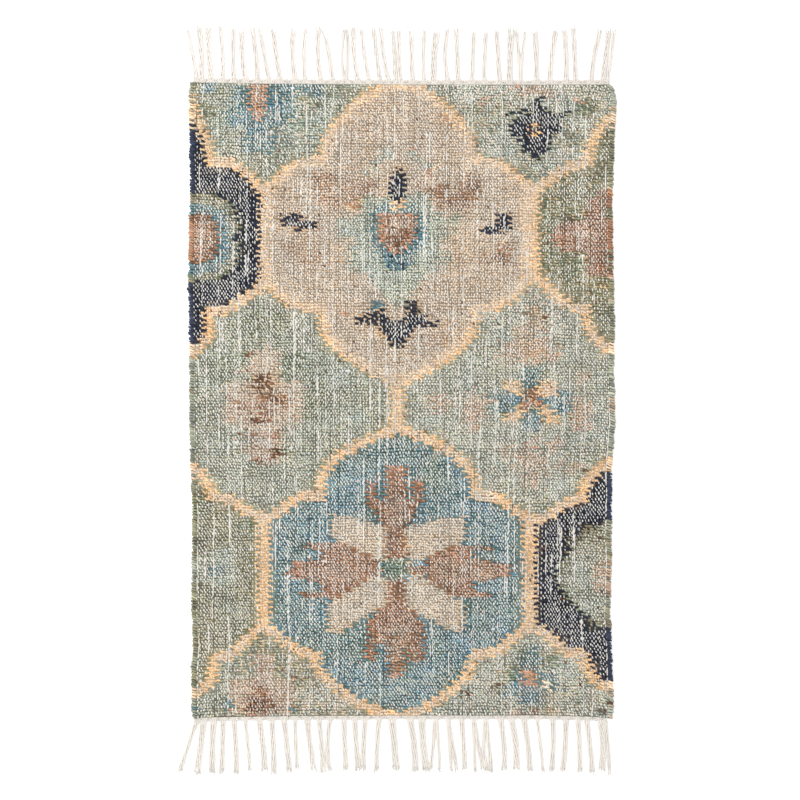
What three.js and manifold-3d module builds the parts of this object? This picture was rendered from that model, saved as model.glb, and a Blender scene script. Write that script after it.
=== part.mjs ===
// Flat woven rug: one thick cloth with a wrapped roll along each long side, and at each end
// a narrow knotted cotton heading that carries the fringe.
// Millimetres, +Z up, +Y towards the top fringe, origin in the middle of the underside.

import * as THREE from "three";
import { mergeVertices } from "three/addons/utils/BufferGeometryUtils.js";
import Module from "manifold-3d";

// Cloth
const clothThickness = 4.8;
const endThickness = 3.4;
const endSlope = 5;
const unevenness = 0.25;
const columnsBetweenRolls = 10;
const clothRows = 38;

// Wrapped roll along each long side
const rollWidth = 8.4;
const rollHeight = 6.4;
const rollUndercut = 1.2;
const rollSteps = [0, 0.16, 0.5, 0.84, 1];
const rollColumns = rollSteps.length - 1;
const clothColumns = 2 * rollColumns + columnsBetweenRolls;

// Heading and fringe
const headingGap = 0.45;
const headingWidth = 6.8;
const headingHeight = 4.2;
const headingRows = 2;
const headingColumns = 36;
const headingWave = 1.2;
const fringeLength = 71;
const fringeLengthSpread = 3;
const fringeHeight = 3.2;
const rootDepth = 3.5;
const strandCrown = 0.5;

// A tassel from its root in the heading to its tip: the knot that ties it, its waist and its loose length.
// Widths are shares of the tassel's own width, heights of fringeHeight
const tasselSections = [
  { along: 0, width: 0.8, height: 0.9 },
  { along: 0.07, width: 1.1, height: 1.35 },
  { along: 0.12, width: 0.72, height: 0.95 },
  { along: 0.38, width: 1, height: 1 },
  { along: 0.72, width: 1.04, height: 0.9 },
  { along: 1, width: 0.86, height: 0.7 },
];

// Where the two long edges run, from the bottom end to the top end
const longEdges = [
  { at: -447, left: -297, right: 299 },
  { at: -436, left: -298, right: 300.5 },
  { at: -390, left: -298, right: 299 },
  { at: -345, left: -295.5, right: 297.5 },
  { at: -300, left: -298, right: 295.5 },
  { at: -232, left: -297.5, right: 297.5 },
  { at: -164, left: -296.5, right: 297.5 },
  { at: -96, left: -299, right: 297.5 },
  { at: -28, left: -301, right: 303 },
  { at: 40, left: -301, right: 300.5 },
  { at: 107, left: -301.5, right: 302 },
  { at: 175, left: -302.5, right: 300.5 },
  { at: 243, left: -301.5, right: 299 },
  { at: 311, left: -299.5, right: 299 },
  { at: 379, left: -301, right: 302 },
  { at: 424, left: -302.5, right: 304.5 },
  { at: 447, left: -300, right: 299 },
];
const clothEnd = longEdges.at(-1).at;

// Where the two woven ends run, from the left side to the right side
const wovenEnds = [
  { at: -303, bottom: -450, top: 450 },
  { at: -280, bottom: -449, top: 448.5 },
  { at: -170, bottom: -447, top: 447 },
  { at: 0, bottom: -446, top: 446 },
  { at: 200, bottom: -446, top: 445.5 },
  { at: 275, bottom: -448, top: 446 },
  { at: 305, bottom: -452, top: 446 },
];

// How far the heading runs to each side
const headingSpan = {
  top: { left: -295, right: 293 },
  bottom: { left: -294, right: 288 },
};

// Tassels from left to right: where each leaves the heading, passes its middle and ends, and its width
const topTassels = [
  { root: -291, middle: -296, tip: -303, width: 4 },
  { root: -284, middle: -284, tip: -287, width: 6 },
  { root: -270, middle: -273, tip: -274, width: 7 },
  { root: -254, middle: -254, tip: -257, width: 5 },
  { root: -238, middle: -239, tip: -238, width: 5 },
  { root: -221, middle: -226, tip: -227, width: 6.5 },
  { root: -204, middle: -207, tip: -212, width: 6 },
  { root: -188, middle: -195, tip: -201, width: 5 },
  { root: -172, middle: -178, tip: -182, width: 5.5 },
  { root: -150, middle: -155, tip: -154, width: 6 },
  { root: -137, middle: -139, tip: -137, width: 4.5 },
  { root: -115, middle: -119, tip: -118, width: 5.5 },
  { root: -98, middle: -103, tip: -110, width: 5 },
  { root: -82, middle: -85, tip: -82, width: 3 },
  { root: -79, middle: -77, tip: -77.5, width: 3.5 },
  { root: -62, middle: -68, tip: -69, width: 5.5 },
  { root: -46, middle: -53, tip: -57, width: 4.5 },
  { root: -31, middle: -36, tip: -40, width: 4.5 },
  { root: -19, middle: -26, tip: -30, width: 5 },
  { root: -9, middle: -11, tip: -13, width: 4.5 },
  { root: -2, middle: -4, tip: -4, width: 4.5 },
  { root: 15, middle: 13.5, tip: 13, width: 5.5 },
  { root: 31, middle: 30, tip: 32, width: 4 },
  { root: 45, middle: 45, tip: 49, width: 7.5 },
  { root: 65, middle: 61, tip: 64, width: 5 },
  { root: 79, middle: 78, tip: 77, width: 5.5 },
  { root: 99, middle: 100, tip: 102, width: 5 },
  { root: 116, middle: 117, tip: 119, width: 5 },
  { root: 138, middle: 136, tip: 134, width: 5.5 },
  { root: 152, middle: 153, tip: 154, width: 7.5 },
  { root: 167, middle: 165, tip: 162, width: 3.5 },
  { root: 169, middle: 170, tip: 174, width: 3.5 },
  { root: 190, middle: 190, tip: 188, width: 6.5 },
  { root: 209, middle: 212, tip: 217, width: 6 },
  { root: 232, middle: 232, tip: 230, width: 6 },
  { root: 246, middle: 244, tip: 243, width: 5.5 },
  { root: 267, middle: 272, tip: 280, width: 5.5 },
  { root: 284, middle: 288, tip: 292, width: 6 },
  { root: 291, middle: 296, tip: 300, width: 3.5 },
];
const bottomTassels = [
  { root: -290, middle: -302, tip: -313, width: 5 },
  { root: -280, middle: -285, tip: -289, width: 7.5 },
  { root: -266, middle: -268, tip: -268, width: 7 },
  { root: -253, middle: -254, tip: -255, width: 6 },
  { root: -238, middle: -235, tip: -234, width: 6 },
  { root: -222, middle: -218, tip: -215, width: 4 },
  { root: -202, middle: -197, tip: -194, width: 7 },
  { root: -184, middle: -182, tip: -181, width: 6.5 },
  { root: -167, middle: -163, tip: -159, width: 6.5 },
  { root: -151, middle: -150, tip: -148, width: 4.5 },
  { root: -134, middle: -130, tip: -125, width: 6.5 },
  { root: -117, middle: -114, tip: -111, width: 5.5 },
  { root: -101, middle: -105, tip: -102, width: 5 },
  { root: -82, middle: -81, tip: -79, width: 6 },
  { root: -67, middle: -65, tip: -62, width: 6 },
  { root: -52, middle: -54, tip: -54, width: 6 },
  { root: -32, middle: -35, tip: -36, width: 5.5 },
  { root: -14, middle: -11, tip: -8, width: 8.5 },
  { root: 11, middle: 17, tip: 19, width: 7.5 },
  { root: 28, middle: 30, tip: 34, width: 8 },
  { root: 47, middle: 44.5, tip: 40.5, width: 4.5 },
  { root: 49, middle: 52, tip: 53, width: 3 },
  { root: 65, middle: 67, tip: 70, width: 3 },
  { root: 66, middle: 71.5, tip: 77.5, width: 4 },
  { root: 84, middle: 87, tip: 89, width: 6 },
  { root: 100, middle: 102, tip: 104, width: 3 },
  { root: 102, middle: 108, tip: 114, width: 4 },
  { root: 118, middle: 115.5, tip: 120, width: 3.5 },
  { root: 119, middle: 123, tip: 126.5, width: 4.5 },
  { root: 139, middle: 144, tip: 145, width: 6.5 },
  { root: 154, middle: 161, tip: 162, width: 7.5 },
  { root: 172, middle: 178, tip: 181, width: 6.5 },
  { root: 191, middle: 196, tip: 200, width: 4 },
  { root: 213, middle: 214, tip: 212, width: 6 },
  { root: 232, middle: 231, tip: 228, width: 6.5 },
  { root: 249, middle: 251, tip: 252, width: 6 },
  { root: 261, middle: 266, tip: 269, width: 6 },
  { root: 281, middle: 284, tip: 283, width: 7.5 },
  { root: 288.5, middle: 292, tip: 294, width: 3.5 },
];

// Straight reading between the two rows of a table that lie around a place
function readTable(table, at, column) {
  const last = table.length - 1;
  const next = Math.min(Math.max(table.findIndex((row) => row.at >= at), 1), last);
  const upper = at > table[last].at ? last : next;
  const before = table[upper - 1];
  const after = table[upper];
  const share = THREE.MathUtils.clamp((at - before.at) / (after.at - before.at), 0, 1);
  return THREE.MathUtils.lerp(before[column], after[column], share);
}

// A box of the given numbers of cells whose corners are each moved by a rule:
// place(column, row, onTop) gives a corner's x, y and z
function shapedBox(columns, rows, place) {
  const geometry = new THREE.BoxGeometry(columns, rows, 1, columns, rows, 1);
  const corners = geometry.attributes.position;
  for (let index = 0; index < corners.count; index += 1) {
    const column = Math.round(corners.getX(index) + columns / 2);
    const row = Math.round(corners.getY(index) + rows / 2);
    const [x, y, z] = place(column, row, corners.getZ(index) > 0);
    corners.setXYZ(index, x, y, z);
  }
  geometry.deleteAttribute("normal");
  geometry.deleteAttribute("uv");
  return mergeVertices(geometry, 1e-4);
}

// Small hand-made unevenness between -1 and 1, the same every time
function wander(first, second) {
  return Math.sin(first / 14 + second / 77) * Math.sin(second / 21 - first / 53 + 1.3);
}

// Height of the wrapped roll at a share of its width
function rollTop(share) {
  const fromMiddle = 2 * share - 1;
  return rollHeight * (0.55 + 0.45 * Math.sqrt(1 - fromMiddle * fromMiddle));
}

// How far in from its own long edge a column of the cloth lies, in widths of the roll
function rollShare(column) {
  const fromSide = Math.min(column, clothColumns - column);
  return fromSide < rollSteps.length ? rollSteps[fromSide] : null;
}

// Where a column of the cloth lies across the rug at a place along it
function clothX(column, y, onTop) {
  const left = readTable(longEdges, y, "left");
  const right = readTable(longEdges, y, "right");
  const share = rollShare(column);
  if (share === null) {
    const acrossShare = (column - rollColumns) / columnsBetweenRolls;
    return THREE.MathUtils.lerp(left + rollWidth, right - rollWidth, acrossShare);
  }
  const inward = share * rollWidth + (share === 0 && !onTop ? rollUndercut : 0);
  return column < clothColumns / 2 ? left + inward : right - inward;
}

function clothGeometry() {
  function place(column, row, onTop) {
    const along = THREE.MathUtils.clamp((row - 1) / (clothRows - 2), 0, 1);
    const x = clothX(column, THREE.MathUtils.lerp(-clothEnd, clothEnd, along), onTop);
    const bottomEnd = readTable(wovenEnds, x, "bottom");
    const topEnd = readTable(wovenEnds, x, "top");
    const atEnd = row === 0 || row === clothRows;
    const slope = atEnd ? 0 : endSlope;
    const y = THREE.MathUtils.lerp(bottomEnd + slope, topEnd - slope, along);
    if (!onTop) {
      return [x, y, 0];
    }
    const share = rollShare(column);
    const body = share === null ? clothThickness : rollTop(share);
    return [x, y, (atEnd ? Math.min(body, endThickness) : body) + unevenness * wander(x, y)];
  }
  return shapedBox(clothColumns, clothRows, place);
}

// The line of one woven end as the cloth's columns draw it
function endLine(end, side) {
  const line = [];
  for (let column = 0; column <= clothColumns; column += 1) {
    const x = clothX(column, side * clothEnd, true);
    line.push({ at: x, y: readTable(wovenEnds, x, end) });
  }
  return line;
}
const endLines = { top: endLine("top", 1), bottom: endLine("bottom", -1) };

// Heading strip beside one woven end: side is 1 at the top and -1 at the bottom
function headingGeometry(end, side) {
  const { left, right } = headingSpan[end];

  function place(column, row, onTop) {
    const x = THREE.MathUtils.lerp(left, right, column / headingColumns);
    const outward = side > 0 ? row : headingRows - row;
    const wave = outward === headingRows ? headingWave * wander(9 * x, 40 * side) : 0;
    const offset = headingGap + (outward / headingRows) * headingWidth + wave;
    const crown = outward === 1 ? headingHeight : headingHeight * 0.6;
    return [x, readTable(endLines[end], x, "y") + side * offset, onTop ? crown : 0];
  }
  return shapedBox(headingColumns, headingRows, place);
}

// One tassel of four sides, flat where it lies, from inside the heading to its tip
function tasselGeometry({ root, middle, tip, width }, end, side) {
  const reach = fringeLength + fringeLengthSpread * wander(5 * root, 90 * side);
  const rootY = readTable(endLines[end], root, "y") + side * (headingGap + headingWidth - rootDepth);
  const bow = middle - (root + tip) / 2;
  const lastSection = tasselSections.length - 1;

  function place(column, row, onTop) {
    const section = tasselSections[side > 0 ? row : lastSection - row];
    const { along } = section;
    const centre = THREE.MathUtils.lerp(root, tip, along) + 4 * bow * along * (1 - along);
    const halfWidth = 0.5 * width * section.width * (onTop ? strandCrown : 1);
    const height = Math.min(fringeHeight, 0.7 * width) * section.height;
    const x = centre + (column === 0 ? -halfWidth : halfWidth);
    return [x, rootY + side * along * (reach + rootDepth), onTop ? height : 0];
  }
  return shapedBox(1, lastSection, place);
}

const wasm = await Module();
wasm.setup();

function toSolid(geometry) {
  const vertProperties = Float32Array.from(geometry.attributes.position.array);
  const triVerts = Uint32Array.from(geometry.index.array);
  return new wasm.Manifold(new wasm.Mesh({ numProp: 3, vertProperties, triVerts }));
}

function toGeometry(solid) {
  const { vertProperties, triVerts } = solid.getMesh();
  const geometry = new THREE.BufferGeometry();
  geometry.setAttribute("position", new THREE.BufferAttribute(Float32Array.from(vertProperties), 3));
  geometry.setIndex(new THREE.BufferAttribute(Uint32Array.from(triVerts), 1));
  return geometry;
}

// The tassels of one end, their roots joined to the heading that they hang from
function fringeGeometry(tassels, end, side) {
  let solid = toSolid(headingGeometry(end, side));
  for (const tassel of tassels) {
    solid = solid.add(toSolid(tasselGeometry(tassel, end, side)));
  }
  return toGeometry(solid);
}

function namedMesh(name, geometry, color, roughness) {
  geometry.computeVertexNormals();
  const material = new THREE.MeshStandardMaterial({ color, roughness, metalness: 0 });
  const mesh = new THREE.Mesh(geometry, material);
  mesh.name = name;
  return mesh;
}

const rug = new THREE.Group();
rug.add(namedMesh("rug", clothGeometry(), 0x9a9a88, 0.92));
rug.add(namedMesh("fringe_top", fringeGeometry(topTassels, "top", 1), 0xede2d4, 0.88));
rug.add(namedMesh("fringe_bottom", fringeGeometry(bottomTassels, "bottom", -1), 0xede2d4, 0.88));

export default rug;
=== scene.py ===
"""Flat-woven rug with a lattice of ogee panels, a wrapped roll along each side and a knotted cotton fringe.

Sizes are millimetres, with the origin in the middle of the woven body's underside, +Y towards the
top fringe and +Z up. Every warp end and weft pick is shown by a small raised float at each place where it
comes to the face, and the weft's shades are charted from plain shapes.
"""

import math

import bmesh
import bpy
import numpy as np
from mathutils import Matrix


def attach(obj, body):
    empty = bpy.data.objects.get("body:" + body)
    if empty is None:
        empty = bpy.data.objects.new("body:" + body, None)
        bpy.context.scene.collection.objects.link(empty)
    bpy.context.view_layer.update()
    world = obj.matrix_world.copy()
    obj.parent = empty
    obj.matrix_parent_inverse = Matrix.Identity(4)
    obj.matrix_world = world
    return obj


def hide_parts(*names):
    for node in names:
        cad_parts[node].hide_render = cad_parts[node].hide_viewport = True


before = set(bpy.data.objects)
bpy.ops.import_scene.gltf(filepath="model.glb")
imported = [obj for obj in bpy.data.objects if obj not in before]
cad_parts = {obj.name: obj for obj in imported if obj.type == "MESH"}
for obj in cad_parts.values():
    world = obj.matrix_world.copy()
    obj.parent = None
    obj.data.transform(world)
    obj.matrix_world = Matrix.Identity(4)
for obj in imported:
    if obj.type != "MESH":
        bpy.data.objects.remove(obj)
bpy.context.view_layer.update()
rng = np.random.default_rng(11)

MM = 0.001

# Cloth
WARP_ENDS = 257
PICKS = 240
CLOTH_END = 447
CLOTH_TOP = 3.3
CLOTH_UNDERSIDE = 1.1
CLOTH_COLUMNS = 44
CLOTH_ROWS = 62
CLOTH_SIDE_INSET = 3.0
CLOTH_END_INSET = 0.4
ROLL_WIDTH = 8.4
ROLL_HEIGHT = 6.4

# Heading and fringe
HEADING_GAP = 0.45
HEADING_WIDTH = 6.8
FRINGE_LENGTH = 71
FRINGE_SPREAD = 3
ROOT_DEPTH = 3.5
THREAD_WIDTH = 2.3
THREAD_SPACING = 1.05
WISPS = 3
WISP_RADII = (0.42, 0.34, 0.22, 0.08)
GATHERED_ENDS = 250
GATHER_RADIUS = 0.95
GATHER_HEIGHT = 1.9
GATHER_OVERLAP = 0.8
GATHER_PULL = 0.88
GATHER_DROP = {"top": 5.6, "bottom": 8.2}
KNOT_TURNS = 2
KNOT_START = 0.6
KNOT_PITCH = 1.5
KNOT_HEIGHT = 1.9
KNOT_HALF_HEIGHT = 1.1
KNOT_BULGE = 0.7

# Twining along the cloth's edge: how far apart its turns lie, then how far each row lies from the edge
# and how its turns lean
TWINE_PITCH = 2.35
TWINING = {"top": [(1.6, 0.7), (3.7, -0.7), (5.6, 0.7)], "bottom": [(1.6, 0.7), (3.7, -0.7)]}

# Floats of yarn: how high their feet lie, then half length, half width and height of the crest, and lean
FLOAT_FOOT = CLOTH_TOP - 0.5
BACK_FOOT = CLOTH_UNDERSIDE + 0.5
TWINE_FOOT = 1.2
WARP_FLOAT = (2.65, 1.56, 4.8)
WEFT_FLOAT = (2.75, 2.15, 4.5)
BACK_FLOAT = (2.15, 1.75, 0.2)
TWINE_FLOAT = (2.6, 1.6, 4.0)
WARP_LEAN = math.radians(28)
WARP_LEAN_CHANGE = math.radians(8)
WEFT_LEAN = math.radians(14)

# Weft wrapped round the side rolls
WRAP_BULGE = 1.45
WRAP_DEPTH = 1.5
WRAP_HALF_PITCH = 1.85
WRAP_SLANT = 1.3

# How far the floats run under the rolls, and how far they stay inside the woven ends
ROLL_OVERLAP = 1
END_MARGIN = 1

# Share of crossings where the weft covers the warp: beside a change of shade, in gold, and elsewhere.
# Then the share that is a brown fleck
FREE_TEETH = 0.8
GOLD_COVERING = 0.25
USUAL_COVERING = 0.02
FLECKS = 0.006

# Thick places of each warp end on average: in about every fifth end, and in the others
MANY_SLUBS = 4.6
FEW_SLUBS = 0.75

# Change of colour between neighbours in a pick where the weft turns back, as a sum of three channels
CLEAR_CHANGE = 0.45

# Where the two long edges run: y, then x of the left and the right edge
LONG_EDGES = np.array([
    (-447, -297, 299), (-436, -298, 300.5), (-390, -298, 299), (-345, -295.5, 297.5),
    (-300, -298, 295.5), (-232, -297.5, 297.5), (-164, -296.5, 297.5), (-96, -299, 297.5),
    (-28, -301, 303), (40, -301, 300.5), (107, -301.5, 302), (175, -302.5, 300.5),
    (243, -301.5, 299), (311, -299.5, 299), (379, -301, 302), (424, -302.5, 304.5),
    (447, -300, 299),
])

# Where the two woven ends run: x, then y of the bottom and the top end
WOVEN_ENDS = np.array([
    (-303, -450, 450), (-280, -449, 448.5), (-170, -447, 447), (0, -446, 446),
    (200, -446, 445.5), (275, -448, 446), (305, -452, 446),
])

# How far each heading runs to the left and to the right
HEADING_SPAN = {"top": (-295, 293), "bottom": (-294, 288)}

# Tassels from left to right: x of the root, the middle and the tip, and the tassel's width
TASSELS = {
    "top": [
        (-291, -296, -303, 4), (-284, -284, -287, 6), (-270, -273, -274, 7), (-254, -254, -257, 5),
        (-238, -239, -238, 5), (-221, -226, -227, 6.5), (-204, -207, -212, 6), (-188, -195, -201, 5),
        (-172, -178, -182, 5.5), (-150, -155, -154, 6), (-137, -139, -137, 4.5), (-115, -119, -118, 5.5),
        (-98, -103, -110, 5), (-82, -85, -82, 3), (-79, -77, -77.5, 3.5), (-62, -68, -69, 5.5),
        (-46, -53, -57, 4.5), (-31, -36, -40, 4.5), (-19, -26, -30, 5), (-9, -11, -13, 4.5),
        (-2, -4, -4, 4.5), (15, 13.5, 13, 5.5), (31, 30, 32, 4), (45, 45, 49, 7.5),
        (65, 61, 64, 5), (79, 78, 77, 5.5), (99, 100, 102, 5), (116, 117, 119, 5),
        (138, 136, 134, 5.5), (152, 153, 154, 7.5), (167, 165, 162, 3.5), (169, 170, 174, 3.5),
        (190, 190, 188, 6.5), (209, 212, 217, 6), (232, 232, 230, 6), (246, 244, 243, 5.5),
        (267, 272, 280, 5.5), (284, 288, 292, 6), (291, 296, 300, 3.5),
    ],
    "bottom": [
        (-290, -302, -313, 5), (-280, -285, -289, 7.5), (-266, -268, -268, 7), (-253, -254, -255, 6),
        (-238, -235, -234, 6), (-222, -218, -215, 4), (-202, -197, -194, 7), (-184, -182, -181, 6.5),
        (-167, -163, -159, 6.5), (-151, -150, -148, 4.5), (-134, -130, -125, 6.5), (-117, -114, -111, 5.5),
        (-101, -105, -102, 5), (-82, -81, -79, 6), (-67, -65, -62, 6), (-52, -54, -54, 6),
        (-32, -35, -36, 5.5), (-14, -11, -8, 8.5), (11, 17, 19, 7.5), (28, 30, 34, 8),
        (47, 44.5, 40.5, 4.5), (49, 52, 53, 3), (65, 67, 70, 3), (66, 71.5, 77.5, 4),
        (84, 87, 89, 6), (100, 102, 104, 3), (102, 108, 114, 4), (118, 115.5, 120, 3.5),
        (119, 123, 126.5, 4.5), (139, 144, 145, 6.5), (154, 161, 162, 7.5), (172, 178, 181, 6.5),
        (191, 196, 200, 4), (213, 214, 212, 6), (232, 231, 228, 6.5), (249, 251, 252, 6),
        (261, 266, 269, 6), (281, 284, 283, 7.5), (288.5, 292, 294, 3.5),
    ],
}
SIDE_OF_END = {"top": 1, "bottom": -1}


# Colours
def dye(red, green, blue):
    """Linear colour of a yarn from the usual values between 0 and 255"""
    share = np.array([red, green, blue]) / 255
    return np.where(share <= 0.04045, share / 12.92, ((share + 0.055) / 1.055) ** 2.4)


# Shades of the weft, and the family of yarn that each belongs to
SHADES = {
    "sage": ("sage", dye(161, 164, 143)),
    "pale sage": ("sage", dye(172, 174, 155)),
    "mist": ("sage", dye(168, 176, 158)),
    "fern": ("sage", dye(124, 138, 115)),
    "olive": ("olive", dye(147, 144, 116)),
    "moss": ("olive", dye(136, 141, 112)),
    "khaki": ("olive", dye(160, 150, 122)),
    "sand": ("sand", dye(201, 178, 152)),
    "blush": ("sand", dye(194, 165, 138)),
    "oat": ("sand", dye(209, 190, 166)),
    "gold": ("gold", dye(230, 202, 171)),
    "copper": ("gold", dye(205, 156, 128)),
    "cream": ("gold", dye(236, 222, 200)),
    "rust": ("rust", dye(172, 128, 99)),
    "clay": ("rust", dye(184, 150, 122)),
    "umber": ("rust", dye(116, 82, 60)),
    "blue": ("blue", dye(111, 143, 147)),
    "teal": ("blue", dye(112, 144, 148)),
    "navy": ("navy", dye(40, 46, 63)),
}
SHADE_NAMES = list(SHADES)
SHADE_COLOURS = np.array([colour for _, colour in SHADES.values()])
SHADE_FAMILIES = np.array([family for family, _ in SHADES.values()])
FAMILIES = ["sage", "olive", "sand", "gold", "rust", "blue", "navy"]
WARP_COTTON = dye(247, 243, 235)
# The top fringe's cotton is painted a little darker than the bottom's: painted shade that evens out the
# stronger light on the top end
FRINGE_COTTON = {"top": dye(219, 213, 206), "bottom": dye(223, 217, 209)}
# The heading's cotton is the fringe's cotton painted lighter: painted light against the shade among its
# crowded threads
HEADING_COTTON_PAINTED_LIGHTER = dye(230, 224, 216)

# How much thicker each yarn packs than the sage one, and the painted shade of the hollows beside it: the
# factor that darkens the feet of its floats, 1 being none
BULK = {"sage": 0.0, "olive": 0.0, "sand": 0.5, "gold": 2.2, "rust": 0.9, "blue": 0.1, "navy": 1.3}
HOLLOW_PAINTED_SHADE = {"sage": 0.5, "olive": 0.5, "sand": 0.6, "gold": 0.8, "rust": 0.48, "blue": 0.45, "navy": 0.35}
SHADE_BULKS = np.array([BULK[family] for family in SHADE_FAMILIES])
PAINTED_HOLLOW_SHADES = np.array([HOLLOW_PAINTED_SHADE[family] for family in SHADE_FAMILIES])


# Unevenness made by hand
def drifting(rows, columns, row_run, column_run):
    """Random values of about -1 to 1 that change slowly over runs of rows and columns"""
    knots = rng.standard_normal((int(rows / row_run) + 3, int(columns / column_run) + 3))
    knot_rows = np.arange(knots.shape[0]) * row_run
    knot_columns = np.arange(knots.shape[1]) * column_run
    down = np.array([np.interp(np.arange(rows), knot_rows, column) for column in knots.T])
    return np.array([np.interp(np.arange(columns), knot_columns, row) for row in down.T])


def uneven_places(count, spread):
    """Places from 0 to 1 with steps that differ a little"""
    steps = 1 + spread * np.clip(rng.standard_normal(count), -2, 2)
    return (np.cumsum(steps) - steps / 2) / steps.sum()


def mix(first, second, share):
    return first + (second - first) * share


def wander(first, second):
    """Small unevenness between -1 and 1, the same as in the solid model"""
    return np.sin(first / 14 + second / 77) * np.sin(second / 21 - first / 53 + 1.3)


def edge_x(y, side):
    """x of a long edge: side 1 is the left one and 2 the right one"""
    return np.interp(y, LONG_EDGES[:, 0], LONG_EDGES[:, side])


def end_y(x, end):
    """y of a woven end"""
    return np.interp(x, WOVEN_ENDS[:, 0], WOVEN_ENDS[:, 1 if end == "bottom" else 2])


# Chart of the pattern
PATTERN_MIDDLE = (-4.2, -5.7)
COMB_TOOTH = 3.4
COMB_ENDS = 3
RIB = 7.0
FAR_OUTSIDE = -1e3

# Two upright ribs laid over those of the quarters: left, right, low and high
WAIST_RIB = (-17.9, 3.1, -38, 30)
RIGHT_POST_RIB = (169, 194, 172, 290)

# How far the panels at the waist reach up and down, and places past the rug that close the side panels
WAIST_REACH = 240
BEYOND_THE_EDGE = [(400, 66), (400, 414)]

# The lattice's ribs in each quarter, measured from the pattern's middle. A post of a given half width
# joins the shoulder to the arch, and the haunch and the eave run from it to the rug's edge
UPPER_SHOULDER = [(0, 31), (16, 37), (40, 48), (64, 63), (87, 80), (102, 98), (109, 116), (108, 134),
                  (128, 136)]
UPPER_ARCH = [(157, 330), (140, 340), (106, 345), (105, 362), (99, 378), (88, 395), (72, 413), (53, 430),
              (28, 446), (0, 452)]
LATTICE = {
    ("upper", "left"): {
        "shoulder": UPPER_SHOULDER + [(151, 141), (166, 153), (190, 176)],
        "arch": [(190, 298), (182, 307), (171, 319), (157, 331)] + UPPER_ARCH[1:],
        "haunch": [(190, 176), (200, 161), (219, 148), (234, 138), (250, 131), (269, 129), (267, 110),
                   (271, 93), (282, 79), (306, 60)],
        "eave": [(190, 297), (204, 314), (214, 325), (226, 335), (239, 341), (267, 344), (270, 370),
                 (280, 391), (287, 405), (291, 420), (296, 432), (300, 442)],
        "post": 7.8,
    },
    ("upper", "right"): {
        "shoulder": UPPER_SHOULDER + [(151, 144), (166, 156), (178, 170), (190, 183)],
        "arch": [(190, 303), (180, 311), (171, 318)] + UPPER_ARCH,
        "haunch": [(190, 183), (208, 168), (217, 158), (229, 148), (242, 138), (265, 135), (266, 120),
                   (270, 108), (274, 97), (284, 87), (294, 80), (306, 72)],
        "eave": [(190, 303), (204, 311), (217, 321), (235, 331), (254, 341), (268, 342), (270, 362),
                 (276, 378), (287, 391), (306, 411)],
        "post": 9.0,
    },
    ("lower", "left"): {
        "shoulder": [(0, 31), (14, 40), (41, 49), (62, 60), (79, 69), (93, 81), (102, 92), (108, 103),
                     (111, 116), (109, 130), (139, 131), (153, 141), (174, 155), (190, 165)],
        "arch": [(190, 314), (183, 318), (171, 325), (163, 335), (153, 340), (144, 348), (117, 356),
                 (115, 371), (109, 381), (90, 399), (66, 417), (38, 432), (0, 443)],
        "haunch": [(190, 163), (202, 157), (222, 147), (241, 133), (265, 132), (268, 116), (277, 101),
                   (295, 86), (306, 78)],
        "eave": [(190, 312), (206, 325), (224, 341), (234, 352), (242, 357), (260, 358), (262, 377),
                 (265, 391), (276, 402), (290, 409), (306, 417)],
        "post": 9.0,
    },
    ("lower", "right"): {
        "shoulder": [(0, 31), (14, 40), (40, 49), (60, 60), (77, 69), (90, 81), (99, 92), (105, 103),
                     (108, 116), (106, 130), (137, 131), (151, 140), (171, 155), (185, 165)],
        "arch": [(185, 314), (174, 320), (156, 335), (142, 349), (112, 353), (105, 358), (103, 371),
                 (98, 381), (82, 399), (61, 415), (35, 431), (0, 443)],
        "haunch": [(185, 165), (206, 161), (220, 152), (232, 144), (244, 136), (261, 133), (262, 120),
                   (268, 108), (276, 99), (284, 90), (306, 80)],
        "eave": [(185, 314), (202, 320), (214, 330), (225, 340), (237, 350), (262, 354), (264, 368),
                 (269, 376), (274, 386), (290, 398), (306, 400)],
        "post": 9.6,
    },
}


def inside(corners, x, y):
    """Which places lie inside a closed outline"""
    within = np.zeros(x.shape, dtype=bool)
    for (x1, y1), (x2, y2) in zip(corners, corners[1:] + corners[:1]):
        if y1 == y2:
            continue
        crosses = (y1 > y) != (y2 > y)
        within ^= crosses & (x < (x2 - x1) * (y - y1) / (y2 - y1) + x1)
    return within


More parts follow.
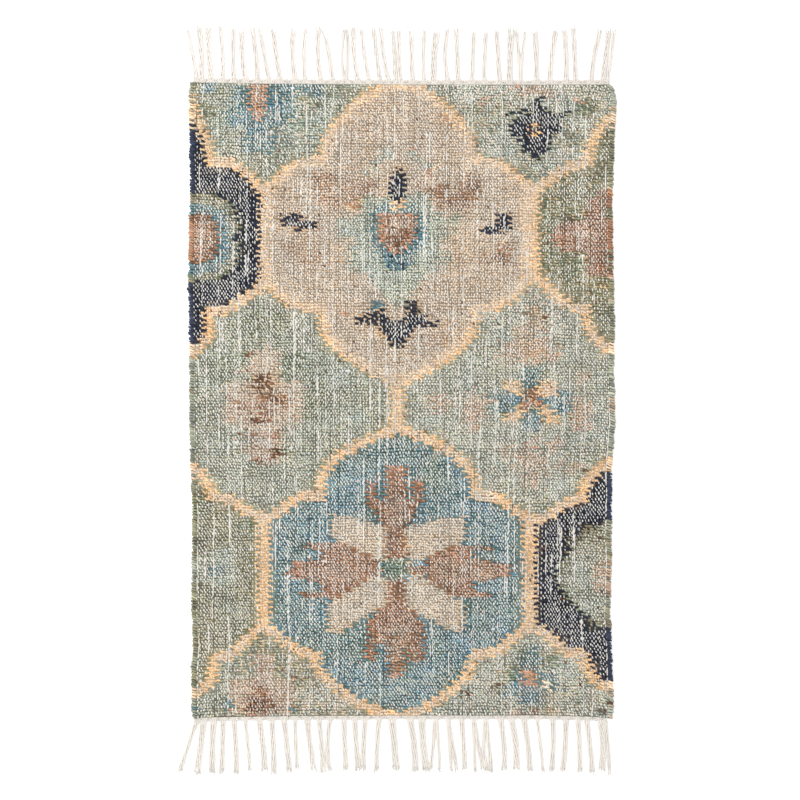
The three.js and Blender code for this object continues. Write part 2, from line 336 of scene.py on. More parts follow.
class Chart:
    """The shade of weft at each of many places of the rug. Shapes give how deep a place lies inside
    them, in millimetres, and paint fills where that is above zero"""

    def __init__(self, x, y, comb):
        self.x = x + comb
        self.y = y
        self.within = True
        self.shade = np.full(x.shape, SHADE_NAMES.index("sage"))
        # A fixed ripple that makes soft outlines ragged
        self.grain = (
            np.sin(0.9 * x + 3 * np.sin(0.31 * y)) * np.sin(0.8 * y + 2 * np.sin(0.17 * x))
            + 0.6 * np.sin(0.21 * x + 1.7 * np.sin(0.09 * y)) * np.sin(0.33 * y + 0.05 * x)
        )

    def begin(self, shade, panel):
        """Gives a whole panel its first shade, and keeps the paint that follows inside it"""
        self.within = panel
        self.shade[panel] = SHADE_NAMES.index(shade)

    def paint(self, shade, *depths, softness=0.0, share=1.0):
        """Gives a shade to the places inside any of the shapes, or to a share of them at random"""
        covered = np.maximum.reduce(depths) + softness * self.grain > 0
        if share < 1:
            covered &= rng.random(covered.shape) < share
        self.shade[covered & self.within] = SHADE_NAMES.index(shade)

    def block(self, left, right, low, high):
        return np.minimum.reduce([self.x - left, right - self.x, self.y - low, high - self.y])

    def oval(self, x, y, half_width, half_height, power=2.0):
        across = np.abs((self.x - x) / half_width) ** power
        along = np.abs((self.y - y) / half_height) ** power
        return (1 - (across + along) ** (1 / power)) * min(half_width, half_height)

    def along(self, start, end):
        """Share of the way from start to end, the distance to that line, and its length"""
        run = np.subtract(end, start)
        length = math.hypot(*run)
        offset_x = self.x - start[0]
        offset_y = self.y - start[1]
        share = (offset_x * run[0] + offset_y * run[1]) / length**2
        return share, np.abs(offset_x * run[1] - offset_y * run[0]) / length, length

    def taper(self, start, end, start_width, end_width):
        share, aside, length = self.along(start, end)
        half_width = mix(start_width, end_width, np.clip(share, 0, 1)) / 2
        return np.minimum.reduce([half_width - aside, share * length, (1 - share) * length])

    def leaf(self, start, end, width, belly=0.5):
        """Pointed at both ends and widest at the belly's share of its length"""
        share, aside, _ = self.along(start, end)
        bend = math.log(0.5) / math.log(belly)
        profile = np.sin(np.pi * np.clip(share, 0, 1) ** bend) ** 0.8
        return np.where((share > 0) & (share < 1), width / 2 * profile - aside, FAR_OUTSIDE)


def rib_depth(u, v, points, half_width):
    """How deep places lie inside a rib that follows points"""
    depth = np.full(u.shape, FAR_OUTSIDE)
    for (u1, v1), (u2, v2) in zip(points, points[1:]):
        run_u, run_v = u2 - u1, v2 - v1
        share = np.clip(((u - u1) * run_u + (v - v1) * run_v) / (run_u**2 + run_v**2), 0, 1)
        distance = np.hypot(u - u1 - share * run_u, v - v1 - share * run_v)
        depth = np.maximum(depth, half_width - distance)
    return depth


def quarters(chart):
    """The ribs of each quarter, with its places and where they lie from the pattern's middle"""
    across = chart.x - PATTERN_MIDDLE[0]
    along = chart.y - PATTERN_MIDDLE[1]
    for (half, side), ribs in LATTICE.items():
        v = along if half == "upper" else -along
        here = (v >= 0) & ((across < 0) == (side == "left"))
        yield (half, side), ribs, here, np.abs(across), v


def paint_lattice(chart):
    """Draws the gold ribs over the panels"""
    for _, ribs, here, u, v in quarters(chart):
        chart.within = here
        depths = [rib_depth(u, v, ribs[name], RIB) for name in ("shoulder", "arch", "haunch", "eave")]
        post = [ribs["shoulder"][-1], ribs["arch"][0]]
        chart.paint("gold", *depths, rib_depth(u, v, post, ribs["post"]))
    chart.within = True
    chart.paint("gold", chart.block(*WAIST_RIB), chart.block(*RIGHT_POST_RIB))


def find_panels(chart):
    """Where each panel between the ribs lies"""
    panels = {}
    taken = np.zeros(chart.x.shape, dtype=bool)
    upper = chart.y > PATTERN_MIDDLE[1]
    left = chart.x < PATTERN_MIDDLE[0]
    for (half, side), ribs, here, u, v in quarters(chart):
        middle = inside(ribs["shoulder"] + ribs["arch"], u, v) & here
        panels[f"{half} middle"] = panels.get(f"{half} middle", False) | middle
        outline = ribs["haunch"] + BEYOND_THE_EDGE + ribs["eave"][::-1]
        panels[f"{half} {side}"] = inside(outline, u, v) & here
        taken |= middle | panels[f"{half} {side}"]
    waist = ~taken & (np.abs(chart.y - PATTERN_MIDDLE[1]) < WAIST_REACH)
    corner = ~taken & ~waist
    panels["waist left"] = waist & left
    panels["waist right"] = waist & ~left
    panels["top left"] = corner & left & upper
    panels["top right"] = corner & ~left & upper
    panels["bottom left"] = corner & left & ~upper
    panels["bottom right"] = corner & ~left & ~upper
    return panels


def paint_sand_panel(chart, panel):
    """Upper middle: a heart in a ring, a bud above it and birds on a winged motif below"""
    paint, block, oval, taper, leaf = chart.paint, chart.block, chart.oval, chart.taper, chart.leaf
    chart.begin("sand", panel)
    # Brown clouds round the ring, and pale ones in the ground
    paint("clay", oval(-110, 310, 18, 12, 3), oval(-57, 301, 24, 14, 3), oval(-90, 281, 36, 8, 3),
          oval(43, 299, 18, 7, 3), oval(56, 281, 16, 13, 3), oval(94, 303, 17, 13, 3),
          oval(88, 279, 15, 11, 3), softness=5, share=0.9)
    paint("rust", oval(-62, 288, 14, 14, 3), oval(94, 296, 14, 16, 3), oval(50, 292, 12, 12, 3),
          softness=5, share=0.35)
    paint("clay", oval(-155, 213, 13, 11), oval(-127, 201, 13, 5), block(137, 155, 195, 222),
          block(110, 137, 193, 203), softness=4, share=0.9)
    paint("rust", block(138, 154, 197, 220), softness=4, share=0.4)
    paint("blush", oval(40, 100, 40, 26), oval(-120, 240, 34, 12), oval(150, 180, 18, 12),
          oval(60, 400, 26, 12), oval(-60, 384, 34, 14), softness=6, share=0.5)
    # The ring of pale green with its two arms
    paint("mist", taper((-14, 350), (-52, 320), 12, 9), taper((8, 352), (46, 322), 14, 12),
          softness=4, share=0.8)
    paint("mist", block(-92, 80, 230, 258), oval(-5, 240, 62, 52), oval(-7, 200, 68, 26, 3),
          taper((-5, 185), (-3, 133), 100, 16), block(-56, -18, 262, 288), block(12, 44, 270, 291),
          softness=4)
    paint("sand", oval(84, 238, 14, 9), oval(-98, 246, 12, 9), softness=6, share=0.6)
    # The heart: its blue rim, then copper and brown
    paint("teal", taper((-6.5, 266), (-6.5, 222), 78, 80), taper((-6.5, 224), (-8, 182), 76, 8),
          oval(-22, 269, 14, 9), oval(13, 270, 14, 10), softness=1)
    paint("blue", oval(-7, 198, 24, 14), oval(30, 236, 6, 14), softness=3, share=0.7)
    paint("navy", oval(-7, 195, 22, 12), softness=2, share=0.12)
    paint("copper", block(-32, 20, 229, 265), taper((-6, 230), (-7, 204), 52, 10))
    paint("clay", block(-27, 15, 229, 260), taper((-6, 230), (-7, 208), 42, 8))
    paint("rust", block(-27, 15, 229, 243), taper((-6, 231), (-7, 207), 44, 10), share=0.6)
    paint("blush", oval(-8, 249, 13, 9), softness=2, share=0.8)
    paint("umber", oval(-20, 240, 10, 12, 3), oval(-12, 222, 12, 8, 3), oval(8, 235, 8, 6, 3),
          softness=3, share=0.3)
    # The bud, the two birds and the winged motif
    paint("gold", block(-14, 3, 269, 286))
    paint("navy", leaf((-7, 280), (-4, 329), 23, 0.42), block(-168, -142, 246, 262),
          block(-148, -122, 240, 254), block(114, 142, 236, 246), block(136, 153, 240, 262))
    paint("navy", block(-63, -52, 105, 118), block(-46, -38, 106, 122), block(-35, -26, 105, 131),
          block(-35, -14, 104, 118), block(-14, 6, 102, 111), block(4, 33, 102, 119),
          block(9, 25, 102, 127), block(8, 26, 126, 141), block(36, 48, 102, 112),
          taper((-6, 106), (-4.5, 72), 54, 6), block(-31, -27, 94, 98))
    paint("sand", block(17, 26, 133, 137))
    paint("teal", block(-41, -26, 129, 141))
    paint("copper", oval(61, 401, 4, 3), oval(14, 355, 4, 3), block(35, 41, 314, 327), oval(-82, 120, 5, 3),
          softness=2)


def paint_blue_panel(chart, panel):
    """Lower middle: a rosette of four tulips and four pale petals"""
    paint, block, oval, taper = chart.paint, chart.block, chart.oval, chart.taper
    chart.begin("blue", panel)
    # Tulips: the top, the right, the left and the bottom one
    paint("rust", block(-21, 5, -226, -180), taper((-8, -186), (-8, -142), 30, 72),
          taper((-8, -142), (-7, -94), 32, 26), taper((-42, -150), (-43, -116), 14, 9),
          taper((23, -150), (23, -116), 16, 15))
    paint("rust", block(10, 101, -248, -236), block(36, 101, -279, -206), block(66, 128, -214.5, -205.5),
          taper((85, -241), (153, -241), 40, 16), block(88, 126, -279, -270))
    paint("rust", block(-112, -20, -248, -234), block(-112, -32, -280, -202), block(-138, -80, -211, -202),
          taper((-95, -241), (-152, -240), 44, 24), block(-165, -150, -246, -241),
          block(-142, -90, -281, -273))
    paint("rust", block(-18, 5, -285, -252), taper((-6, -278), (-8, -316), 24, 76),
          block(-48, 31, -344.5, -314), block(-51, -37, -367, -344),
          taper((-10, -340), (-9.5, -386), 27, 24), block(-18, 0, -392, -384), block(9, 32, -370, -344))
    # Petals, each cut off by a box
    for start, end, widths, box in [
        ((-15, -206), (-106, -174), (52, 32), (-101, -22, -227, -161.5)),
        ((2, -207), (100, -177), (54, 34), (5, 91, -234, -164)),
        ((-12, -258), (-112, -318), (44, 44), (-107, -17, -328.5, -250)),
        ((4, -262), (95, -318), (50, 42), (4, 89.5, -327.5, -247)),
    ]:
        paint("oat", np.minimum(taper(start, end, *widths), block(*box)))
        middle = mix(np.array(start), np.array(end), 0.6)
        paint("sand", oval(*middle, 22, 16), softness=5, share=0.25)
    # Lights in the tulips, and the ground that shows through their notches
    paint("clay", oval(-8, -160, 20, 24), oval(72, -241, 24, 16), oval(-82, -241, 26, 16),
          oval(-8, -345, 28, 26), softness=4, share=0.65)
    paint("copper", block(-20, 6, -101, -94), block(-48, -37, -121, -115), block(20, 31, -121, -115),
          block(138, 151, -247, -236), block(-153, -144, -252, -228), block(-18, 0, -394, -387),
          block(-50, -37, -366, -361), block(12, 30, -371, -366), share=0.7)
    paint("blue", block(101, 126, -225, -215), block(101, 126, -270, -262), block(-137, -116, -225, -214),
          block(-139, -114, -271, -266), block(-36, -20, -382, -346), block(4, 10, -382, -350))
    paint("mist", oval(54, -399, 18, 12), softness=4, share=0.4)
    paint("mist", block(-160, 160, -440, -330), share=0.07)
    paint("clay", oval(106, -241, 22, 14), softness=3, share=0.5)
    # The middle
    paint("fern", oval(-9, -238, 21, 16))
    paint("mist", oval(-9, -238, 9, 5), softness=3, share=0.6)


def paint_side_panels(chart, panels):
    """The four half panels along the rug's sides"""
    paint, block, oval, taper, leaf = chart.paint, chart.block, chart.oval, chart.taper, chart.leaf
    # Half a round blossom: olive, blue, then brown
    chart.begin("navy", panels["upper left"])
    paint("moss", oval(-300, 230, 72, 62, 3))
    paint("khaki", oval(-300, 230, 72, 62, 3), share=0.5)
    paint("navy", taper((-224, 230), (-240, 229), 12, 4))
    paint("teal", oval(-300, 227, 57.5, 49.5, 3), softness=1)
    paint("rust", oval(-300, 228, 42, 35, 2.8))
    paint("clay", oval(-282, 228, 18, 28), softness=4, share=0.5)

    # A brown blossom with ragged petals
    chart.begin("olive", panels["upper right"])
    paint("oat", block(180, 310, 140, 340), share=0.1)
    paint("fern", oval(205, 240, 16, 60), oval(250, 290, 26, 16), softness=8, share=0.35)
    paint("khaki", oval(240, 300, 34, 26), softness=6, share=0.5)
    paint("moss", oval(238, 188, 22, 14), softness=6, share=0.7)
    paint("rust", block(276, 310, 272, 297), block(261, 286, 256, 286), block(230, 310, 210, 256),
          oval(234, 232, 22, 20), block(262, 289, 175, 212), block(286, 310, 177, 185), softness=1.5)
    paint("blush", oval(258, 236, 14, 8, 3), softness=3, share=0.8)
    paint("clay", oval(262, 222, 30, 9), softness=4, share=0.25)

    # A pale leaf with blue specks
    chart.begin("olive", panels["lower left"])
    paint("khaki", oval(-270, -330, 30, 26), softness=7, share=0.6)
    paint("sage", block(-310, -291, -400, -80), softness=4, share=0.65)
    paint("moss", oval(-217, -175, 18, 16), oval(-284, -153, 14, 16), softness=6, share=0.8)
    paint("mist", leaf((-256, -266), (-256, -204), 44), softness=3)
    paint("pale sage", block(-262, -236, -250, -232), oval(-286, -243, 14, 18), softness=3)
    paint("blue", block(-274, -264, -248, -234), block(-261, -255, -248, -234),
          block(-251, -247, -247, -235))

    # Half a pale diamond
    chart.begin("navy", panels["lower right"])
    paint("sage", oval(303, -248, 88, 82, 1.35))
    paint("navy", block(257, 267, -325, -311))
    paint("khaki", oval(268, -205, 34, 28), oval(280, -310, 18, 14), softness=6, share=0.6)
    paint("blush", oval(287, -254, 19, 24), softness=4, share=0.85)
    paint("pale sage", oval(255, -243, 15, 18), softness=5, share=0.8)
    paint("umber", oval(285, -196, 4, 2), oval(233, -281, 5, 3), oval(298, -221, 3, 2))


def paint_waist_panels(chart, panels):
    """The two panels beside the pattern's middle"""
    paint, block, oval, taper = chart.paint, chart.block, chart.oval, chart.taper
    chart.begin("sage", panels["waist left"])
    paint("moss", oval(-150, 46, 22, 28), oval(-116, -5, 18, 30), oval(-198, 107, 34, 18),
          oval(-250, 44, 24, 26), softness=7, share=0.85)
    paint("pale sage", oval(-127, 88, 15, 36), softness=5, share=0.95)
    paint("fern", block(-168, -142, 49, 67), block(-172, -163, 31, 44), block(-224, -219, 50, 58),
          oval(-228, 96, 18, 8), softness=4, share=0.6)
    # An upright flower with its cross bar
    paint("sand", block(-216, -171, -86, 71), block(-196, -186, 70, 81), block(-251, -140, -32, 26),
          softness=2)
    paint("blush", block(-252, -225, -32, 12), oval(-160, 10, 20, 16), oval(-192, -60, 22, 24),
          softness=6, share=0.5)
    paint("rust", block(-232, -195, -13, -2), block(-200, -161, -6, 5), block(-201, -188, -32, 4),
          block(-166, -158, -12, -4), block(-210, -198, -51, -46), block(-209, -187, -90, -81), softness=1)
    paint("clay", oval(-195, -30, 42, 62), softness=6, share=0.22)
    paint("umber", block(-206, -192, 5, 36), block(-189, -182, 12, 37), block(-192, -162, -2, 4),
          softness=2, share=0.65)
    paint("copper", block(-190, -170, -54, -47), oval(-218, 45, 4, 3), softness=1, share=0.6)
    paint("umber", block(-214, -198, -32, -25), block(-220, -211, 60, 69), oval(-234, 39, 4, 2.5),
          oval(-176, -74, 8, 6), oval(-228, -47, 4, 2.5), oval(-129, 22, 4, 3), share=0.8)
    paint("mist", block(-310, -296, -53, -20), oval(-60, -20, 20, 14), softness=3)

    chart.begin("pale sage", panels["waist right"])
    paint("oat", block(40, 230, 104, 170), share=0.14)
    paint("clay", oval(190, 120, 14, 13, 3), oval(183, 75, 22, 16, 3), oval(187, -112, 19, 14, 3),
          oval(184, -68, 15, 8), oval(216, 68, 9, 15), softness=5, share=0.55)
    paint("blush", oval(147, 68, 11, 17), oval(184, 72, 30, 20, 3), oval(54, -4, 18, 14),
          oval(101, -13, 16, 29), oval(149, -72, 12, 11), oval(217, -65, 12, 9), oval(257, 31, 13, 8),
          oval(265, -30, 8, 10), oval(255, -20, 16, 23), oval(180, -87, 26, 12, 3), oval(240, -95, 20, 7),
          oval(184, 98, 30, 9), softness=5, share=0.85)
    # A small rosette: four gold corners, blue arms and a brown middle
    paint("gold", block(146, 171, 7, 28), block(189, 220, 5.5, 28), block(161, 177, -18, -6),
          block(147, 171, -30, -15), block(193, 220, -32, -8))
    paint("blue", taper((184, 46), (182, 16), 34, 18), block(124, 157, -18, 14), block(155, 174, -6, 7),
          block(209, 239, -12, 5), block(220, 238, 5, 14), block(217, 239, -21, -12),
          block(192, 209, -5, 2), block(168, 201, -35, -20), block(177, 194, -20, -12),
          block(171, 198, -45, -35))
    paint("blush", block(122, 133, -7, 0), block(296, 310, -21, 17))
    paint("rust", block(172, 195, -10, 8), block(177, 190, 8, 17), block(169, 179, -15, -6))
    paint("copper", block(190, 201, -8, -2), oval(188, -56, 4, 3), oval(174, -62, 4, 3),
          oval(185, -68, 4, 3), oval(107, -40, 4, 3), block(242, 265, -43, -39), share=0.8)
    paint("oat", oval(184, 1, 4, 3))
    paint("umber", oval(255, -99, 4, 2.5), oval(204, 116, 3, 2), oval(110, 20, 3, 2))


def paint_corner_panels(chart, panels):
    """The four corners"""
    paint, block, oval, taper = chart.paint, chart.block, chart.oval, chart.taper
    chart.begin("sage", panels["top left"])
    paint("moss", oval(-270, 412, 18, 20), oval(-130, 420, 30, 10), oval(-150, 400, 20, 26),
          softness=7, share=0.5)
    paint("mist", oval(-150, 390, 40, 38), oval(-262, 384, 18, 26), softness=7, share=0.85)
    # Half a blue flower with a copper middle
    paint("blue", block(-284, -264, 433, 455), block(-146, -111, 429, 455), block(-241, -152, 405, 443),
          block(-249, -217, 387, 420), block(-187, -155, 427, 455), block(-180, -150, 398, 433),
          block(-184, -164, 387, 400), taper((-201, 405), (-201, 349), 46, 34), softness=1.5)
    paint("sage", oval(-246, 425, 9, 15), oval(-234, 404, 6, 9), softness=4, share=0.6)
    paint("copper", block(-216, -191, 418, 455), taper((-203.5, 419), (-204, 392), 25, 5))
    paint("clay", block(-210, -197, 416, 455), taper((-203.5, 418), (-204, 402), 13, 5))
    paint("blush", block(-206, -199, 424, 455), share=0.6)
    paint("oat", block(-190, -60, 330, 450), share=0.1)

    chart.begin("pale sage", panels["top right"])
    paint("sage", oval(120, 400, 30, 20), oval(250, 370, 26, 18), oval(180, 322, 20, 10),
          softness=7, share=0.7)
    paint("oat", block(60, 300, 300, 450), share=0.14)
    paint("fern", oval(257, 414, 15, 11), softness=4, share=0.6)
    paint("blush", block(166, 214, 431, 443), softness=3, share=0.95)
    # A star with a gold middle
    paint("navy", block(189, 198, 418, 429), taper((193.5, 421), (193.5, 402), 8, 32),
          block(172, 183, 408, 412), block(149, 166, 402.5, 406.5), block(159, 223, 393, 402),
          block(225, 236, 403, 408), block(212, 226, 396, 406), block(155, 226, 377, 393),
          block(159, 217, 371, 377), block(167, 209, 365, 371), block(172, 209, 350, 365),
          taper((191, 351), (191, 340), 28, 4))
    paint("gold", block(182, 197, 374, 392), share=0.8)
    paint("blush", block(182, 197, 374, 392), share=0.3)
    paint("navy", block(183, 188, 377, 383), block(192, 198, 384, 388))
    paint("copper", oval(118, 423, 4, 6), oval(163, 443, 5, 3), oval(211, 415, 4, 3), oval(253, 422, 5, 3),
          softness=2, share=0.8)

    chart.begin("sage", panels["bottom left"])
    paint("pale sage", oval(-108, -420, 42, 28), oval(-252, -392, 22, 26), oval(-142, -378, 26, 18),
          softness=8, share=0.95)
    paint("oat", oval(-238, -364, 16, 22), block(-250, -60, -450, -340), softness=8, share=0.25)
    paint("oat", oval(-108, -421, 40, 27), softness=6, share=0.35)
    # Half a pale flower with a brown middle
    paint("blush", block(-206, -181, -394, -360), block(-228, -151, -445, -392),
          block(-243, -225, -445, -396), softness=2.5)
    paint("mist", oval(-212, -365, 5, 4), oval(-220, -391, 6, 4))
    paint("rust", block(-206, -196, -406, -399), block(-209, -190, -417, -406),
          block(-217, -179, -446, -417), softness=1.5, share=0.85)
    paint("umber", oval(-200, -412, 9, 8), oval(-203, -430, 15, 14), softness=3, share=0.3)
    paint("teal", oval(-246, -430, 8, 8), oval(-153, -437, 5, 4), softness=2)
    paint("umber", block(-156, -144, -396, -391), block(-131, -124, -394, -390), share=0.6)
    paint("teal", block(-310, -290, -438, -430))

    chart.begin("pale sage", panels["bottom right"])
    paint("fern", oval(160, -386, 12, 10), oval(174, -366, 8, 12), oval(215, -366, 8, 10),
          softness=5, share=0.55)
    paint("oat", block(60, 300, -450, -330), share=0.12)
    paint("clay", block(153, 211, -446, -437), softness=3, share=0.7)
    # A blue flower
    paint("blue", taper((188, -346), (183, -362), 6, 16), block(169, 198, -386, -361),
          block(163, 200, -406, -384), block(198, 218, -410, -386), block(148, 172, -414, -401),
          taper((160, -413), (139, -419), 9, 4), block(167, 202, -430, -405), block(216, 229, -412, -408),
          softness=1)
    paint("copper", block(170, 188, -389, -384), block(170, 189, -403, -396))
    paint("blush", block(174, 189, -397, -389), softness=1)
    paint("cream", oval(206, -403, 6, 8))
    paint("umber", oval(136, -402, 6, 3), oval(90, -415, 5, 5), oval(-290, -440, 4, 3),
          oval(292, -428, 8, 3), oval(288, -441, 6, 3), softness=2, share=0.7)


def chart_shades(x, y, comb):
    """Numbers of the shades at many places"""
    chart = Chart(x, y, comb)
    panels = find_panels(chart)
    paint_sand_panel(chart, panels["upper middle"])
    paint_blue_panel(chart, panels["lower middle"])
    paint_side_panels(chart, panels)
    paint_waist_panels(chart, panels)
    paint_corner_panels(chart, panels)
    paint_lattice(chart)
    return chart.shade


# Where every warp end crosses every pick. Arrays have a row for each end and a column for each pick
def lay_out_weave():
    """x and y of every crossing, with the unevenness of ends and picks laid by hand"""
    end_share = uneven_places(WARP_ENDS, 0.14)[:, None]
    pick_share = uneven_places(PICKS, 0.10)[None, :]
    y = mix(-CLOTH_END, CLOTH_END, pick_share)
    left = edge_x(y, 1) + ROLL_WIDTH - ROLL_OVERLAP
    right = edge_x(y, 2) - ROLL_WIDTH + ROLL_OVERLAP
    x = mix(left, right, end_share)
    y = mix(end_y(x, "bottom") + END_MARGIN, end_y(x, "top") - END_MARGIN, pick_share)
    x = x + 0.5 * drifting(WARP_ENDS, PICKS, 3, 25) + 0.38 * drifting(WARP_ENDS, PICKS, 1.0, 7)
    y = y + 0.8 * drifting(WARP_ENDS, PICKS, 7, 4)
    return x, y


# The longest thick places: x, then the y where each begins and ends
SLUBS = [
    (-274, -36, 81), (-274, -95, -49), (-258, 72, 113), (-251, 72, 113), (-245, -79, -48), (-232, -36, 56),
    (-236, -75, -36), (-226, 68, 113), (-205, 81, 113), (-190, 27, 56), (-195, -48, -8), (-179, -46, 25),
    (-159, -55, 18), (-114, -90, -40), (-114, -33, -8), (-260, 342, 391), (-260, 298, 325),
    (-207, 345, 394), (-177, 386, 437), (-174, 392, 430), (-162, 399, 417), (-133, 260, 420),
    (-144, 271, 319), (-52, 180, 240), (45, 202, 236), (71, 75, 132), (119, 45, 99), (134, -44, 7),
    (210, 66, 99), (228, -50, 12), (252, -104, -42), (155, -63, -16), (207, -101, -63), (145, 236, 262),
    (211, 64, 147), (247, 60, 142), (-127, 60, 110), (-219, 165, 262), (-256, 322, 346), (-286, 296, 352),
    (-254, 174, 262), (-281, 184, 262), (244, -209, -155), (225, -236, -192), (213, -282, -214),
    (226, -318, -296), (257, -334, -318), (214, 376, 402), (240, 342, 424), (281, 332, 350), (145, 358, 396),
    (225, 418, 446),
]


def thick_places():
    """How swollen each warp end is, from 0 to 1: long thick places in hand-spun cotton"""
    swollen = np.zeros((WARP_ENDS, PICKS))
    for x, low, high in SLUBS:
        end = np.abs(weave_x - x).sum(axis=1).argmin()
        swollen[end] += np.clip(np.minimum(weave_y[end] - low, high - weave_y[end]) / 6, 0, 1)
    pick = np.arange(PICKS)
    for end in range(WARP_ENDS):
        often = MANY_SLUBS if (end + end // 18) % 5 == 0 else FEW_SLUBS
        for _ in range(rng.poisson(often)):
            middle = rng.uniform(0, PICKS)
            half_length = rng.lognormal(2.5, 0.55)
            strength = rng.uniform(0.45, 1)
            swollen[end] += strength * np.clip(1.8 - 1.8 * np.abs(pick - middle) / half_length, 0, 1)
    return np.clip(swollen, 0, 1)


weave_x, weave_y = lay_out_weave()
comb = np.where(np.arange(PICKS) % 2 == 0, 1.0, -1.0) * COMB_TOOTH
comb = comb + 0.5 * rng.standard_normal(PICKS)
weave_shade = chart_shades(weave_x, weave_y, comb[None, :])
swollen_warp = thick_places()
bulky_weft = drifting(WARP_ENDS, PICKS, 9, 1.0)
slanting = drifting(WARP_ENDS, PICKS, 24, 20)
end_fullness = drifting(WARP_ENDS, PICKS, 1.0, 36)
packed_weft = SHADE_BULKS[weave_shade]
# Painted shade at the feet of each weft float, by its yarn's family
painted_hollow_light = PAINTED_HOLLOW_SHADES[weave_shade]
warp_is_up = (np.arange(WARP_ENDS)[:, None] + np.arange(PICKS)[None, :]) % 2 == 0


# Where the weft covers the warp, and its colour
def beside_a_change(reach):
    """Places within a few warp ends of a clear change of shade in their pick"""
    colour = SHADE_COLOURS[weave_shade]
    step = np.abs(np.diff(colour, axis=0)).sum(axis=2) > CLEAR_CHANGE
    beside = np.zeros(warp_is_up.shape, dtype=bool)
    for end in range(reach):
        beside[: -1 - end] |= step[end:]
        beside[1 + end :] |= step[: len(step) - end]
    return beside


def free_comb_teeth():
    """Lets the weft lie over the warp beside a change of shade, where it turns back"""
    warp_is_up[beside_a_change(1)] = False
    warp_is_up[beside_a_change(COMB_ENDS) & (rng.random(warp_is_up.shape) < FREE_TEETH)] = False
    covering = np.where(SHADE_FAMILIES[weave_shade] == "gold", GOLD_COVERING, USUAL_COVERING)
    warp_is_up[rng.random(warp_is_up.shape) < covering] = False
    warp_is_up[rng.random(warp_is_up.shape) < 0.9 * (swollen_warp - 0.3)] = True


free_comb_teeth()


def weft_dyes():
    """Colour of the weft at every crossing, heathered from pick to pick and along each pick"""
    colour = SHADE_COLOURS[weave_shade]
    streak = drifting(PICKS, WARP_ENDS, 1.0, 10).T
    cloud = drifting(WARP_ENDS, PICKS, 16, 14)
    speck = rng.standard_normal(weave_shade.shape)
    family = SHADE_FAMILIES[weave_shade]
    calm = np.select([family == "sand", family == "gold"], [0.5, 0.35], 1.0)
    patch = drifting(WARP_ENDS, PICKS, 6, 4)
    own_light = 0.04 * streak + (0.06 * cloud + 0.18 * patch) * calm + (0.10 + 0.10 * calm) * speck
    light = np.clip(1 + own_light, 0.4, 1.9)
    warmth = 0.03 * drifting(PICKS, WARP_ENDS, 1.0, 6).T + 0.05 * drifting(WARP_ENDS, PICKS, 10, 8)
    warmth *= np.where(family == "blue", 1.8, 1.0)
    warmth += 0.045 * calm * rng.standard_normal(weave_shade.shape)
    tint = np.stack([1 + warmth, 1 + 0 * warmth, 1 - 1.4 * warmth], axis=2)
    gold_tooth = (weave_shade == SHADE_NAMES.index("gold")) & beside_a_change(COMB_ENDS)
    tint = tint * np.where(gold_tooth[..., None], (1.0, 0.92, 0.78), 1.0)
    flecked = rng.random(weave_shade.shape) < FLECKS
    colour = np.where(flecked[..., None], SHADE_COLOURS[SHADE_NAMES.index("umber")], colour)
    return colour * light[..., None] * tint


weave_dye = weft_dyes()


# Objects and their colours
def place_object(name, data):
    """Puts a mesh, lamp or camera into the scene"""
    made = bpy.data.objects.new(name, data)
    bpy.context.scene.collection.objects.link(made)
    return made


def give_dyes_and_painted_shade(mesh, dyes):
    """Stores a colour for each point of a mesh in the attribute dye: the yarn's colour, with painted shade in
    the hollows and painted light on the heading
    """
    layer = mesh.attributes.new("dye", "FLOAT_COLOR", "POINT")
    layer.data.foreach_set("color", np.column_stack([dyes, np.ones(len(dyes))]).ravel())


# Forms of the small pieces of yarn
class Form:
    """The faces of one small piece of yarn and the place of each of their corners in its map cell"""

    def __init__(self, faces, places, flat=()):
        self.corners = np.concatenate(faces)
        self.sizes = np.array([len(face) for face in faces])
        self.places = np.array(places, dtype=float)
        self.smooth = np.array([number not in flat for number in range(len(faces))])


# Corners of a float: the four of its leaning foot, then those of its ridge or its peak. Spans are shares
# of its half length and half width, and places are in its map cell
FOOT_SPANS = [(-1, 0), (0.3, -1), (1, 0), (-0.3, 1)]
FOOT_PLACES = [(0.02, 0.42), (0.6, 0.04), (0.98, 0.42), (0.4, 0.8)]
HIDDEN_FOOT_PLACES = [(0.05, 0.87), (0.95, 0.87), (0.95, 0.96), (0.05, 0.96)]


def float_form(upper_faces, foot_face, top_spans, top_places):
    """A closed float, whose hidden foot has a strip of the map cell to itself"""
    places = FOOT_PLACES + top_places
    corner_places = [places[corner] for face in upper_faces for corner in face]
    form = Form(upper_faces + [foot_face], corner_places + HIDDEN_FOOT_PLACES, flat=(len(upper_faces),))
    form.spans = np.array(FOOT_SPANS + top_spans, dtype=float)
    return form


RIDGED_FORM = float_form(
    [(0, 1, 4), (1, 5, 4), (1, 2, 5), (2, 3, 5), (3, 4, 5), (3, 0, 4)],
    (3, 2, 1, 0),
    [(-0.5, 0.12), (0.5, -0.12)],
    [(0.3, 0.42), (0.7, 0.42)],
)
PEAKED_FORM = float_form([(1, 0, 4), (2, 1, 4), (3, 2, 4), (0, 3, 4)], (0, 1, 2, 3), [(0, 0)], [(0.5, 0.42)])


